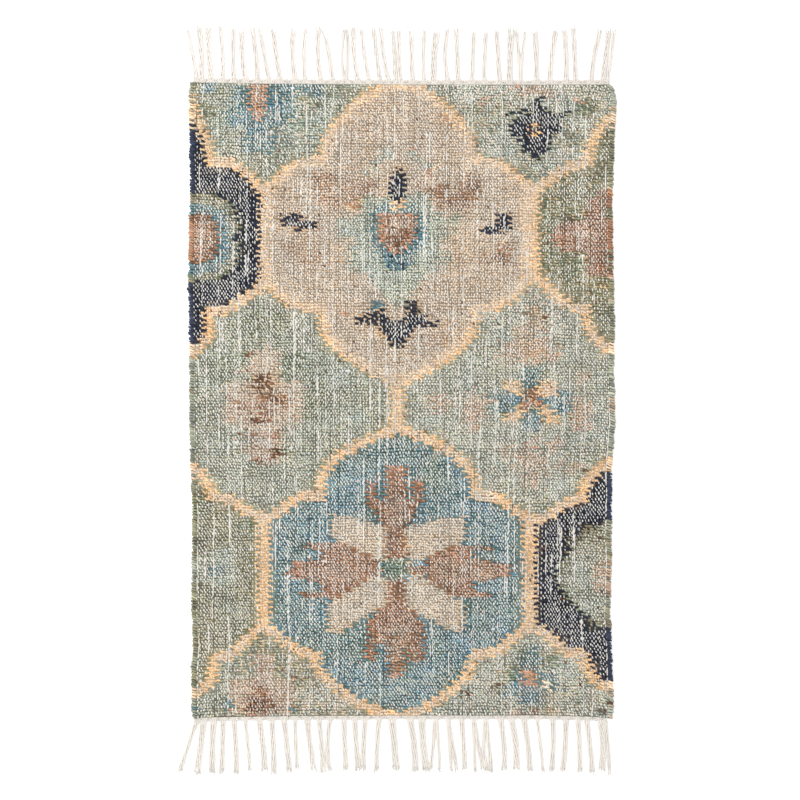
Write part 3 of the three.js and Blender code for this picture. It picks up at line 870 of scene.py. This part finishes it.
def sweep_form(rings, sides, is_loop):
    """Rings of corners joined one to the next: a loop, or a thread with a face at each end"""
    faces = []
    places = []
    spans = rings if is_loop else rings - 1
    for ring in range(spans):
        following = (ring + 1) % rings
        for side in range(sides):
            beside = (side + 1) % sides
            corners = [(ring, side), (ring, beside), (following, beside), (following, side)]
            faces.append(tuple(row * sides + column for row, column in corners))
            low, high = side / (sides + 1), (side + 1) / (sides + 1)
            near, far = 0.02 + 0.96 * ring / spans, 0.02 + 0.96 * (ring + 1) / spans
            places += [(low, near), (high, near), (high, far), (low, far)]
    if is_loop:
        return Form(faces, places)
    faces.append(tuple(range(sides))[::-1])
    faces.append(tuple((rings - 1) * sides + side for side in range(sides)))
    turns = [math.tau * side / sides for side in range(sides)]
    for end in (0.25, 0.75):
        places += [(0.93 + 0.04 * math.cos(turn), end + 0.1 * math.sin(turn)) for turn in turns]
    return Form(faces, places, flat=(len(faces) - 2, len(faces) - 1))


class Skein:
    """One mesh of many small pieces of yarn. Each has its own cell in the map OFBake, and the map
    Fibre gives millimetres along and across the yarn"""

    def __init__(self):
        self.points = []
        self.dyes = []
        self.corners = []
        self.sizes = []
        self.smooth = []
        self.fibre = []
        self.batches = []
        self.point_count = 0

    def add(self, form, points, dyes, cell_size):
        """points has a row of corners for each piece, in millimetres, and dyes their colours"""
        count, corner_points = points.shape[:2]
        if count == 0:
            return
        starts = self.point_count + corner_points * np.arange(count)
        self.points.append(points.reshape(-1, 3))
        self.dyes.append(dyes.reshape(-1, 3))
        self.corners.append((starts[:, None] + form.corners[None, :]).ravel())
        self.sizes.append(np.tile(form.sizes, count))
        self.smooth.append(np.tile(form.smooth, count))
        run = rng.uniform(0, 400, (count, 1, 2)) + form.places[None] * np.array(cell_size)
        self.fibre.append(run.reshape(-1, 2))
        self.batches.append((form, count, cell_size))
        self.point_count += count * corner_points

    def bake_map(self):
        """Gives every piece a cell, in bands as high as the batches are large"""
        areas = [count * width * height for _, count, (width, height) in self.batches]
        maps = []
        floor = 0.0
        for (form, count, (width, height)), area in zip(self.batches, areas):
            band = area / sum(areas)
            columns = max(1, round(math.sqrt(count * height / (width * band))))
            rows = math.ceil(count / columns)
            cell = np.arange(count)
            corner = np.stack([cell % columns, cell // columns], axis=1)[:, None, :]
            share = (corner + 0.04 + 0.92 * form.places[None]) / np.array([columns, rows])
            share[..., 1] = floor + band * share[..., 1]
            maps.append(share.reshape(-1, 2))
            floor += band
        return np.concatenate(maps)

    def build(self, name):
        mesh = bpy.data.meshes.new(name)
        points = np.concatenate(self.points) * MM
        corners = np.concatenate(self.corners)
        sizes = np.concatenate(self.sizes)
        mesh.vertices.add(len(points))
        mesh.vertices.foreach_set("co", points.ravel())
        mesh.loops.add(len(corners))
        mesh.loops.foreach_set("vertex_index", corners)
        mesh.polygons.add(len(sizes))
        mesh.polygons.foreach_set("loop_start", np.concatenate([[0], np.cumsum(sizes)[:-1]]))
        mesh.polygons.foreach_set("use_smooth", np.concatenate(self.smooth))
        for map_name, places in (("OFBake", self.bake_map()), ("Fibre", np.concatenate(self.fibre))):
            layer = mesh.uv_layers.new(name=map_name)
            layer.uv.foreach_set("vector", places.ravel())
        give_dyes_and_painted_shade(mesh, np.concatenate(self.dyes))
        mesh.update(calc_edges=True)
        mesh.validate()
        return place_object(name, mesh)


# Floats of the weave
def add_floats(skein, form, foot, x, y, turn, half_length, half_width, crest, colour, painted_foot_light, cell_size):
    """Many floats of one form, with their four foot corners at one height and darker than the crest by
    painted shade
    """
    along = form.spans[:, 0] * half_length[:, None]
    across = form.spans[:, 1] * half_width[:, None]
    corner_x = x[:, None] + along * np.cos(turn)[:, None] - across * np.sin(turn)[:, None]
    corner_y = y[:, None] + along * np.sin(turn)[:, None] + across * np.cos(turn)[:, None]
    corner_z = np.where(np.arange(len(form.spans)) < 4, foot, crest[:, None])
    dyes = np.repeat(colour[:, None, :], len(form.spans), axis=1)
    # Painted shade: the feet, where the floats tuck under their neighbours, are darkened
    dyes[:, :4] *= np.reshape(painted_foot_light, (-1, 1, 1))
    skein.add(form, np.stack([corner_x, corner_y, corner_z], axis=2), dyes, cell_size)


def spread(count, share):
    """Factors around 1 that differ by about a share"""
    return 1 + share * np.clip(rng.standard_normal(count), -2.2, 2.2)


def add_warp(skein, chosen):
    """Floats of the warp where it comes to the face"""
    long, wide, high = WARP_FLOAT
    swell = swollen_warp[chosen]
    count = len(swell)
    bulk = bulky_weft[chosen] + 0.8 * packed_weft[chosen]
    lean = WARP_LEAN + WARP_LEAN_CHANGE * slanting[chosen]
    turn = math.pi / 2 + lean * (1 - swell) + 0.14 * rng.standard_normal(count)
    half_length = (long - 0.14 * bulk + 1.9 * swell) * spread(count, 0.12)
    fullness = 1 + 0.13 * end_fullness[chosen]
    half_width = (wide - 0.10 * bulk + 0.25 * swell) * fullness * spread(count, 0.14)
    crest = high + 0.3 * swell + 0.08 * end_fullness[chosen] + 0.15 * rng.standard_normal(count)
    paleness = spread(count, 0.05) - 0.13 * swell
    family = SHADE_FAMILIES[weave_shade[chosen]]
    gilded = np.select([family == "gold", family == "navy", family == "rust"], [0.34, 0.12, 0.24], 0.14)
    colour = mix(WARP_COTTON, weave_dye[chosen], (gilded * (1 - 0.5 * swell))[:, None]) * paleness[:, None]
    x = weave_x[chosen] + 0.22 * rng.standard_normal(count)
    y = weave_y[chosen] + 0.45 * rng.standard_normal(count)
    # The warp floats' feet get painted shade at 0.55
    add_floats(skein, RIDGED_FORM, FLOAT_FOOT, x, y, turn, half_length, half_width, crest, colour, 0.55,
               cell_size=(4.9, 2.8))


def add_weft(skein, chosen):
    """Floats of the weft where it comes to the face"""
    long, wide, high = WEFT_FLOAT
    packed = packed_weft[chosen]
    count = len(packed)
    bulk = bulky_weft[chosen] + packed
    turn = -WEFT_LEAN + (0.12 + 0.10 * packed) * rng.standard_normal(count)
    half_length = (long - 0.12 * packed) * spread(count, 0.10)
    half_width = (wide + 0.15 * bulk) * spread(count, 0.10)
    crest = high + 0.12 * bulk + 0.16 * rng.standard_normal(count)
    x = weave_x[chosen] + 0.25 * rng.standard_normal(count)
    y = weave_y[chosen] + (0.5 + 0.1 * packed) * rng.standard_normal(count)
    add_floats(skein, RIDGED_FORM, FLOAT_FOOT, x, y, turn, half_length, half_width, crest, weave_dye[chosen],
               painted_hollow_light[chosen], cell_size=(5.5, 4.3))


def add_back_weft(skein, chosen):
    """Floats of the weft on the underside, where the warp is up"""
    long, wide, high = BACK_FLOAT
    x, y = weave_x[chosen], weave_y[chosen]
    count = len(x)
    turn = WEFT_LEAN + 0.10 * rng.standard_normal(count)
    half_length = long * spread(count, 0.08)
    half_width = wide * spread(count, 0.08)
    crest = high + 0.15 * rng.random(count)
    # The feet get painted shade at 0.55
    add_floats(skein, PEAKED_FORM, BACK_FOOT, x, y, turn, half_length, half_width, crest, weave_dye[chosen],
               0.55, cell_size=(4.3, 3.6))


# Wraps of the weft round the outer warps
WRAP_STEPS = 10
WRAP_SECTION = np.array([(-1.0, 0.0), (-0.5, 0.85), (0.5, 0.85), (1.0, 0.0)])
WRAP_FORM = sweep_form(WRAP_STEPS, len(WRAP_SECTION), is_loop=True)


def add_wraps(skein, side, own):
    """Turns of weft round the roll along one side, in the picks that begin with the skein's own yarn"""
    column, inward = (0, 1) if side == 1 else (-1, -1)
    picks = np.flatnonzero(own[column])
    count = len(picks)
    y = weave_y[column, picks]
    lump = np.sin(y / 5.3 + side) * np.sin(y / 17 + 2 * side)
    middle_x = edge_x(y, side) + inward * (ROLL_WIDTH / 2 - 0.5 * lump + 0.45 * rng.standard_normal(count))
    middle_z = ROLL_HEIGHT / 2 + 0.02
    bulge = WRAP_BULGE * np.where(picks % 2 == 0, 1.22, 0.78) * spread(count, 0.12)
    half_width = (ROLL_WIDTH / 2 - WRAP_BULGE) * spread(count, 0.08)
    half_height = ROLL_HEIGHT / 2 - WRAP_DEPTH
    half_pitch = WRAP_HALF_PITCH * np.where(picks % 2 == 0, 1.15, 0.9) * spread(count, 0.15)
    angle = math.tau * np.arange(WRAP_STEPS) / WRAP_STEPS
    slant = -WRAP_SLANT * np.cos(angle) * spread(count, 0.3)[:, None]
    out, up = np.cos(angle), np.sin(angle)
    along, raised = WRAP_SECTION.T
    reach = bulge[:, None, None] * raised[None, None, :]
    x = middle_x[:, None, None] + (half_width[:, None, None] + reach) * out[None, :, None]
    z = middle_z + (half_height + reach) * up[None, :, None]
    along_y = half_pitch[:, None, None] * along[None, None, :] + slant[:, :, None]
    points = np.stack([x, y[:, None, None] + along_y + 0 * x, z + 0 * x], axis=3)
    points[..., 2] = np.maximum(points[..., 2], 0.05)
    shade = weave_shade[column, picks]
    family = SHADE_FAMILIES[shade]
    # Navy turns take 1.6 times their colour, a painted highlight along the roll; gold takes 0.95 and the rest
    # 0.84, the weft's own darker colour where no warp shows
    light = np.select([family == "gold", family == "navy"], [0.95, 1.6], 0.84)
    colour = mix(SHADE_COLOURS[shade], weave_dye[column, picks], 0.5) * (light * spread(count, 0.2))[:, None]
    # Painted shade: the parts of each turn that sink between its neighbours are darkened to a quarter
    gap_painted_shade = np.where(raised > 0.5, 1.0, 0.25)
    dyes = colour[:, None, None, :] * gap_painted_shade[None, None, :, None] + np.zeros(points.shape)
    corners = WRAP_STEPS * len(WRAP_SECTION)
    skein.add(WRAP_FORM, points.reshape(-1, corners, 3), dyes.reshape(-1, corners, 3), cell_size=(12, 22))


# Cloth between the floats
def build_cloth():
    """The closed sheet of packed yarn that the floats stand on; its top is painted dark, as painted shade
    where it shows between them
    """
    mesh = bmesh.new()
    bmesh.ops.create_grid(mesh, x_segments=CLOTH_COLUMNS, y_segments=CLOTH_ROWS, size=0.5)
    for corner in mesh.verts:
        across, along = corner.co.x + 0.5, corner.co.y + 0.5
        y = mix(-CLOTH_END, CLOTH_END, along)
        x = mix(edge_x(y, 1) + CLOTH_SIDE_INSET, edge_x(y, 2) - CLOTH_SIDE_INSET, across)
        y = mix(end_y(x, "bottom") + CLOTH_END_INSET, end_y(x, "top") - CLOTH_END_INSET, along)
        corner.co = (x * MM, y * MM, CLOTH_UNDERSIDE * MM)
    underside = mesh.faces[:]
    raised = bmesh.ops.extrude_face_region(mesh, geom=underside)
    upper = [part for part in raised["geom"] if isinstance(part, bmesh.types.BMVert)]
    bmesh.ops.translate(mesh, verts=upper, vec=(0, 0, (CLOTH_TOP - CLOTH_UNDERSIDE) * MM))
    bmesh.ops.recalc_face_normals(mesh, faces=mesh.faces[:])
    data = bpy.data.meshes.new("rug_cloth")
    mesh.to_mesh(data)
    mesh.free()
    places = np.array([vertex.co for vertex in data.vertices]) / MM
    shades = chart_shades(places[:, 0], places[:, 1], 0.0)
    on_top = places[:, 2] > (CLOTH_TOP + CLOTH_UNDERSIDE) / 2
    # Painted shade: the top takes the weft's colour darkened further than the floats' feet; the underside is
    # the warp's cotton at 0.62
    cloth_painted_shade = 0.8 * PAINTED_HOLLOW_SHADES[shades, None] - 0.1
    colour = np.where(on_top[:, None], cloth_painted_shade * SHADE_COLOURS[shades], 0.62 * WARP_COTTON)
    give_dyes_and_painted_shade(data, colour)
    return place_object("rug_cloth", data)


# Fringe
def thread_points(path, radius, sides):
    """Corners of threads along paths with a row of points each: radius has one value for each point"""
    ahead = np.gradient(path, axis=1)
    ahead /= np.linalg.norm(ahead, axis=2, keepdims=True)
    up = np.array([0.0, 0.0, 1.0])
    beside = np.cross(ahead, up)
    beside /= np.linalg.norm(beside, axis=2, keepdims=True)
    over = np.cross(beside, ahead)
    angle = math.tau * np.arange(sides) / sides
    wide = radius[..., None, None]
    points = path[:, :, None, :] + wide * (
        np.cos(angle)[None, None, :, None] * beside[:, :, None, :]
        + np.sin(angle)[None, None, :, None] * over[:, :, None, :]
    )
    points[..., 2] = np.maximum(points[..., 2], 0.04)
    return points.reshape(len(path), -1, 3)


THREAD_RINGS = 18
THREAD_SIDES = 5
THREAD_FORM = sweep_form(THREAD_RINGS, THREAD_SIDES, is_loop=False)
GATHER_RINGS = 6
GATHER_SIDES = 4
GATHER_FORM = sweep_form(GATHER_RINGS, GATHER_SIDES, is_loop=False)
WISP_SIDES = 3
WISP_FORM = sweep_form(len(WISP_RADII), WISP_SIDES, is_loop=False)


def add_threads(skein, path, radius, form, sides, colour):
    points = thread_points(path, radius, sides)
    dyes = np.repeat(colour[:, None, :], points.shape[1], axis=1)
    length = float(np.linalg.norm(np.diff(path[0], axis=0), axis=1).sum())
    skein.add(form, points, dyes, (2 * math.pi * float(radius.mean()), length))


def add_tassel(skein, end, root, middle, tip, width):
    """The threads of one tassel, which wind slowly round each other, and the wisps at their tips"""
    side = SIDE_OF_END[end]
    reach = FRINGE_LENGTH + FRINGE_SPREAD * wander(5 * root, 90 * side)
    root_y = end_y(root, end) + side * (HEADING_GAP + HEADING_WIDTH - ROOT_DEPTH)
    bow = middle - (root + tip) / 2
    count = max(4, round(width / THREAD_SPACING))
    share = np.linspace(0, 1, THREAD_RINGS)[None, :]
    number = np.arange(count)[:, None]
    own_reach = reach + ROOT_DEPTH - rng.uniform(0, 5, (count, 1))
    turns = rng.uniform(0.25, 0.7) * rng.choice([-1, 1])
    angle = math.tau * (number / count + turns * share) + rng.uniform(0, math.tau)
    looseness = 0.95 + 0.25 * share**2 + 0.2 * np.exp(-30 * (share - 0.09) ** 2)
    half_spread = max(0.9, (width + 2.0 - THREAD_WIDTH) / 2) * looseness
    sway = 0.3 * share * np.sin(7 * share + rng.uniform(0, 6, (count, 1)))
    x = mix(root, tip, share) + 4 * bow * share * (1 - share) + half_spread * np.cos(angle) + sway
    y = root_y + side * share * own_reach
    z = 1.0 + 0.55 * (1 + np.sin(angle)) * (1 - 0.35 * share) + 0.5 * np.exp(-12 * share)
    path = np.stack([x, y, z], axis=2)
    radius = THREAD_WIDTH / 2 * (1 - 0.25 * share**6) * (1 + 0.03 * np.sin(23 * share + number))
    colour = FRINGE_COTTON[end] * spread(count, 0.025)[:, None]
    add_threads(skein, path, radius, THREAD_FORM, THREAD_SIDES, colour)

    # Wisps go on from each thread's last point and fan out
    start = np.repeat(path[:, -1, :], WISPS, axis=0)
    heading = np.repeat(path[:, -1, :] - path[:, -2, :], WISPS, axis=0)
    heading /= np.linalg.norm(heading, axis=1, keepdims=True)
    step = np.linspace(-1, rng.uniform(3, 5), len(WISP_RADII))[None, :, None]
    fan = np.zeros((len(start), 1, 3))
    fan[:, 0, 0] = 0.28 * rng.standard_normal(len(start))
    wisp_path = start[:, None, :] + step * (heading[:, None, :] + fan * np.abs(step) / 3)
    wisp_path[..., 2] = np.maximum(0.25, start[:, None, 2] - 0.2 * np.abs(step[..., 0]))
    wisp_radius = np.array(WISP_RADII)[None, :] * np.ones((len(start), 1))
    wisp_colour = FRINGE_COTTON[end] * spread(len(start), 0.02)[:, None]
    add_threads(skein, wisp_path, wisp_radius, WISP_FORM, WISP_SIDES, wisp_colour)


def add_gathers(skein, end):
    """Warp ends drawn together from the cloth's edge into each tassel's root"""
    side = SIDE_OF_END[end]
    roots = np.array([tassel[0] for tassel in TASSELS[end]], dtype=float)
    starts = np.linspace(*HEADING_SPAN[end], GATHERED_ENDS)
    nearest = roots[np.abs(starts[:, None] - roots[None, :]).argmin(axis=1)]
    share = np.linspace(0, 1, GATHER_RINGS)[None, :]
    x = starts[:, None] + GATHER_PULL * (nearest - starts)[:, None] * share**1.3
    edge = end_y(starts, end)[:, None]
    drop = GATHER_DROP[end] * share + 0.25 * rng.standard_normal((len(starts), 1)) * share
    y = edge + side * (drop - GATHER_OVERLAP)
    z = GATHER_HEIGHT - 0.3 * share + 0.2 * np.sin(3.1 * share) + 0.15 * rng.standard_normal((len(starts), 1))
    path = np.stack([x, y, z], axis=2)
    radius = GATHER_RADIUS * np.ones((len(starts), GATHER_RINGS))
    colour = HEADING_COTTON_PAINTED_LIGHTER * spread(len(starts), 0.04)[:, None]
    add_threads(skein, path, radius, GATHER_FORM, GATHER_SIDES, colour)


def add_twining(skein, end):
    """Slanting turns of cotton along the cloth's edge, which lock the last pick"""
    side = SIDE_OF_END[end]
    left, right = HEADING_SPAN[end]
    long, wide, high = TWINE_FLOAT
    for row, (offset, lean) in enumerate(TWINING[end]):
        x = np.arange(left + 1, right - 1, TWINE_PITCH)
        count = len(x)
        y = end_y(x, end) + side * (offset + 0.25 * wander(9 * x, 40 * row))
        turn = lean * side + 0.12 * rng.standard_normal(count)
        half_length = long * spread(count, 0.08)
        half_width = wide * spread(count, 0.08)
        crest = (high - 0.3 * row) * spread(count, 0.03)
        colour = HEADING_COTTON_PAINTED_LIGHTER * spread(count, 0.03)[:, None]
        # The feet get a light painted shade at 0.9
        add_floats(skein, RIDGED_FORM, TWINE_FOOT, x, y, turn, half_length, half_width, crest, colour, 0.9,
                   cell_size=(4.6, 2.5))


KNOT_STEPS = 8
KNOT_SECTION = np.array([(-1.0, 0.0), (0.0, 0.9), (1.0, 0.0)])
KNOT_FORM = sweep_form(KNOT_STEPS, len(KNOT_SECTION), is_loop=True)


def add_knots(skein, end):
    """Turns of cotton round each tassel's root"""
    side = SIDE_OF_END[end]
    angle = math.tau * np.arange(KNOT_STEPS) / KNOT_STEPS
    along, raised = KNOT_SECTION.T
    for root, _, tip, width in TASSELS[end]:
        for turn in range(KNOT_TURNS):
            offset = HEADING_GAP + HEADING_WIDTH + KNOT_START + KNOT_PITCH * turn
            slope = (tip - root) / FRINGE_LENGTH
            x = root + slope * offset
            y = end_y(root, end) + side * offset
            half_width = 0.34 * width + KNOT_BULGE * raised[None, :] + 0.2 * rng.standard_normal()
            half_height = KNOT_HALF_HEIGHT + KNOT_BULGE * raised[None, :]
            ring_x = x + half_width * np.cos(angle)[:, None]
            ring_z = KNOT_HEIGHT + half_height * np.sin(angle)[:, None]
            ring_y = y + 0.9 * along[None, :] + 0.5 * np.cos(angle)[:, None]
            points = np.stack([ring_x, ring_y, ring_z], axis=2).reshape(1, -1, 3)
            dyes = np.repeat(HEADING_COTTON_PAINTED_LIGHTER[None, None, :], points.shape[1], axis=1)
            skein.add(KNOT_FORM, points, dyes, cell_size=(5, 14))


def build_fringe(end):
    skein = Skein()
    add_twining(skein, end)
    add_gathers(skein, end)
    for tassel in TASSELS[end]:
        add_tassel(skein, end, *tassel)
    add_knots(skein, end)
    return skein.build(f"{end}_tassels")


# Materials
class Socket:
    """A socket of a material's nodes, so that shader maths reads as Python"""

    def __init__(self, recipe, link):
        self.recipe = recipe
        self.link = link

    def maths(self, operation, first, second):
        return self.recipe.node("ShaderNodeMath", {"operation": operation}, {0: first, 1: second})

    def __add__(self, other):
        return self.maths("ADD", self, other)

    def __radd__(self, other):
        return self.maths("ADD", other, self)

    def __sub__(self, other):
        return self.maths("SUBTRACT", self, other)

    def __rmul__(self, other):
        return self.maths("MULTIPLY", other, self)


class Recipe:
    """A material that is being mixed, with its Principled shader"""

    def __init__(self, name):
        self.material = bpy.data.materials.new(name)
        self.material.use_nodes = True
        self.tree = self.material.node_tree
        self.shader = self.tree.nodes["Principled BSDF"]

    def node(self, kind, settings, values, output=0):
        made = self.tree.nodes.new(kind)
        for name, setting in settings.items():
            setattr(made, name, setting)
        for name, value in values.items():
            self.feed(made.inputs[name], value)
        return Socket(self, made.outputs[output])

    def feed(self, target, value):
        if isinstance(value, Socket):
            self.tree.links.new(value.link, target)
        else:
            target.default_value = value

    def set(self, **finish):
        for name, value in finish.items():
            self.feed(self.shader.inputs[name.replace("_", " ")], value)

    def noise(self, place, scale, detail):
        return self.node("ShaderNodeTexNoise", {}, {"Vector": place, "Scale": scale, "Detail": detail})

    def stretched(self, place, scale):
        return self.node("ShaderNodeMapping", {}, {"Vector": place, "Scale": scale})

    def object_place(self):
        return self.node("ShaderNodeTexCoord", {}, {}, "Object")

    def dyed(self, light):
        """The colour of the attribute dye, which holds painted shade and light as well as the yarn's colour,
        made lighter or darker
        """
        colour = self.node("ShaderNodeAttribute", {"attribute_name": "dye"}, {})
        grey = self.node("ShaderNodeCombineColor", {}, {0: light, 1: light, 2: light})
        settings = {"data_type": "RGBA", "blend_type": "MULTIPLY"}
        return self.node("ShaderNodeMix", settings, {"Factor": 1.0, 6: colour, 7: grey}, 2)

    def bump(self, strength, distance, height):
        return self.node("ShaderNodeBump", {}, {"Strength": strength, "Distance": distance, "Height": height})


def fibre_noise(recipe, along, across, detail):
    """Noise drawn out along the yarn: cells a millimetre at scale 1"""
    fibre = recipe.node("ShaderNodeUVMap", {"uv_map": "Fibre"}, {})
    return recipe.noise(recipe.stretched(fibre, (along, across, 1.0)), 1.0, detail)


def make_yarn(name, fuzz, twist, sheen):
    """Matt spun yarn whose colour comes from the attribute dye"""
    recipe = Recipe(name)
    strand = fibre_noise(recipe, 0.45, 3.2, 2.0)
    plies = fibre_noise(recipe, 1.6, 1.1, 1.0)
    dust = recipe.noise(recipe.object_place(), 26.0, 2.0)
    base = recipe.dyed((1 - fuzz * 0.5) + fuzz * strand + 0.10 * (dust - 0.5))
    bump = recipe.bump(0.5, 0.0004, strand + twist * plies)
    recipe.set(Base_Color=base, Roughness=0.80 + 0.16 * strand, Normal=bump)
    recipe.set(Sheen_Weight=sheen, Sheen_Roughness=0.5, Specular_IOR_Level=0.25)
    return recipe.material


def make_cloth_finish():
    """Packed yarn in the hollows between the floats; the dark of its top is painted shade held in the
    attribute dye
    """
    recipe = Recipe("packed_yarn")
    lumps = recipe.noise(recipe.stretched(recipe.object_place(), (440.0, 270.0, 1.0)), 1.0, 2.0)
    bump = recipe.bump(0.6, 0.0008, lumps)
    recipe.set(Base_Color=recipe.dyed(0.6 + 0.8 * lumps), Roughness=0.85 + 0.1 * lumps, Normal=bump)
    recipe.set(Specular_IOR_Level=0.2)
    return recipe.material


def make_floor_finish():
    """White paper with a painted glow: a little emission of its own, though it is no lamp, keeps it white
    round the rug
    """
    recipe = Recipe("studio_floor")
    grain = recipe.noise(recipe.object_place(), 9.0, 2.0)
    recipe.set(Base_Color=(0.95, 0.95, 0.95, 1.0), Roughness=0.75 + 0.05 * grain, Specular_IOR_Level=0.1)
    # Painted glow: the floor gives off light, which also lifts the shade under the fringe
    recipe.set(Emission_Color=(1.0, 1.0, 1.0, 1.0), Emission_Strength=0.2)
    return recipe.material


# Pieces
cloth = build_cloth()
cloth.data.materials.append(make_cloth_finish())

weft_pieces = {}
for family in FAMILIES:
    skein = Skein()
    own = SHADE_FAMILIES[weave_shade] == family
    add_weft(skein, own & ~warp_is_up)
    add_back_weft(skein, own & warp_is_up)
    for side in (1, 2):
        add_wraps(skein, side, own)
    piece = skein.build(f"weft_{family}")
    piece.data.materials.append(make_yarn(f"{family}_wool", fuzz=0.5, twist=0.6, sheen=0.1))
    weft_pieces[family] = piece

warp_yarn = make_yarn("warp_cotton", fuzz=0.25, twist=0.9, sheen=0.15)
warp_pieces = []
for shed, name in enumerate(("warp_odd_ends", "warp_even_ends")):
    skein = Skein()
    in_shed = (np.arange(WARP_ENDS) % 2 == shed)[:, None]
    add_warp(skein, warp_is_up & in_shed)
    piece = skein.build(name)
    piece.data.materials.append(warp_yarn)
    warp_pieces.append(piece)

fringe_yarn = make_yarn("fringe_cotton", fuzz=0.16, twist=1.2, sheen=0.15)
fringe_pieces = {}
for end in ("top", "bottom"):
    piece = build_fringe(end)
    piece.data.materials.append(fringe_yarn)
    fringe_pieces[end] = piece

for family, piece in weft_pieces.items():
    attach(piece, "root")
for piece in warp_pieces:
    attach(piece, "root")
for end, piece in fringe_pieces.items():
    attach(piece, "root")
    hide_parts(f"fringe_{end}")
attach(cloth, "root")
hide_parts("rug")


# Studio
FLOOR_HALF_SIZE = 6.0
FLOOR_HEIGHT = -0.0002
SKY_STRENGTH = 1.06
WHITE = (1.0, 1.0, 1.0, 1.0)
FRAME_WIDTH = 1.132
FRAME_MIDDLE_X = -0.0024
LENS = 120.0
SENSOR = 36.0


def build_floor():
    mesh = bmesh.new()
    bmesh.ops.create_grid(mesh, x_segments=1, y_segments=1, size=FLOOR_HALF_SIZE)
    bmesh.ops.translate(mesh, verts=mesh.verts[:], vec=(0, 0, FLOOR_HEIGHT))
    data = bpy.data.meshes.new("studio_floor")
    mesh.to_mesh(data)
    mesh.free()
    data.materials.append(make_floor_finish())
    floor = place_object("studio_floor", data)


def add_light(name, place, target, size, power):
    lamp = bpy.data.lights.new(name, "AREA")
    lamp.shape = "DISK"
    lamp.size = size
    lamp.energy = power
    holder = place_object(name, lamp)
    holder.location = place
    holder.rotation_euler = direction_to(place, target)


def direction_to(place, target):
    """Turns that point an object's -Z at a target"""
    x, y, z = np.subtract(target, place)
    return (math.atan2(math.hypot(x, y), -z), 0.0, math.atan2(y, x) - math.pi / 2)


def build_camera():
    lens = bpy.data.cameras.new("photo_camera")
    lens.lens = LENS
    lens.sensor_width = SENSOR
    lens.clip_end = 30.0
    camera = place_object("photo_camera", lens)
    camera.location = (FRAME_MIDDLE_X, 0.0, FRAME_WIDTH * LENS / SENSOR)
    bpy.context.scene.camera = camera


build_floor()
add_light("key_softbox", place=(-1.6, 1.4, 2.4), target=(0.0, 0.0, 0.0), size=1.6, power=56.0)
sky = bpy.data.worlds.new("studio_light")
sky.use_nodes = True
background = sky.node_tree.nodes["Background"].inputs
background["Color"].default_value = WHITE
background["Strength"].default_value = SKY_STRENGTH
bpy.context.scene.world = sky
bpy.context.scene.view_settings.view_transform = "Standard"
build_camera()
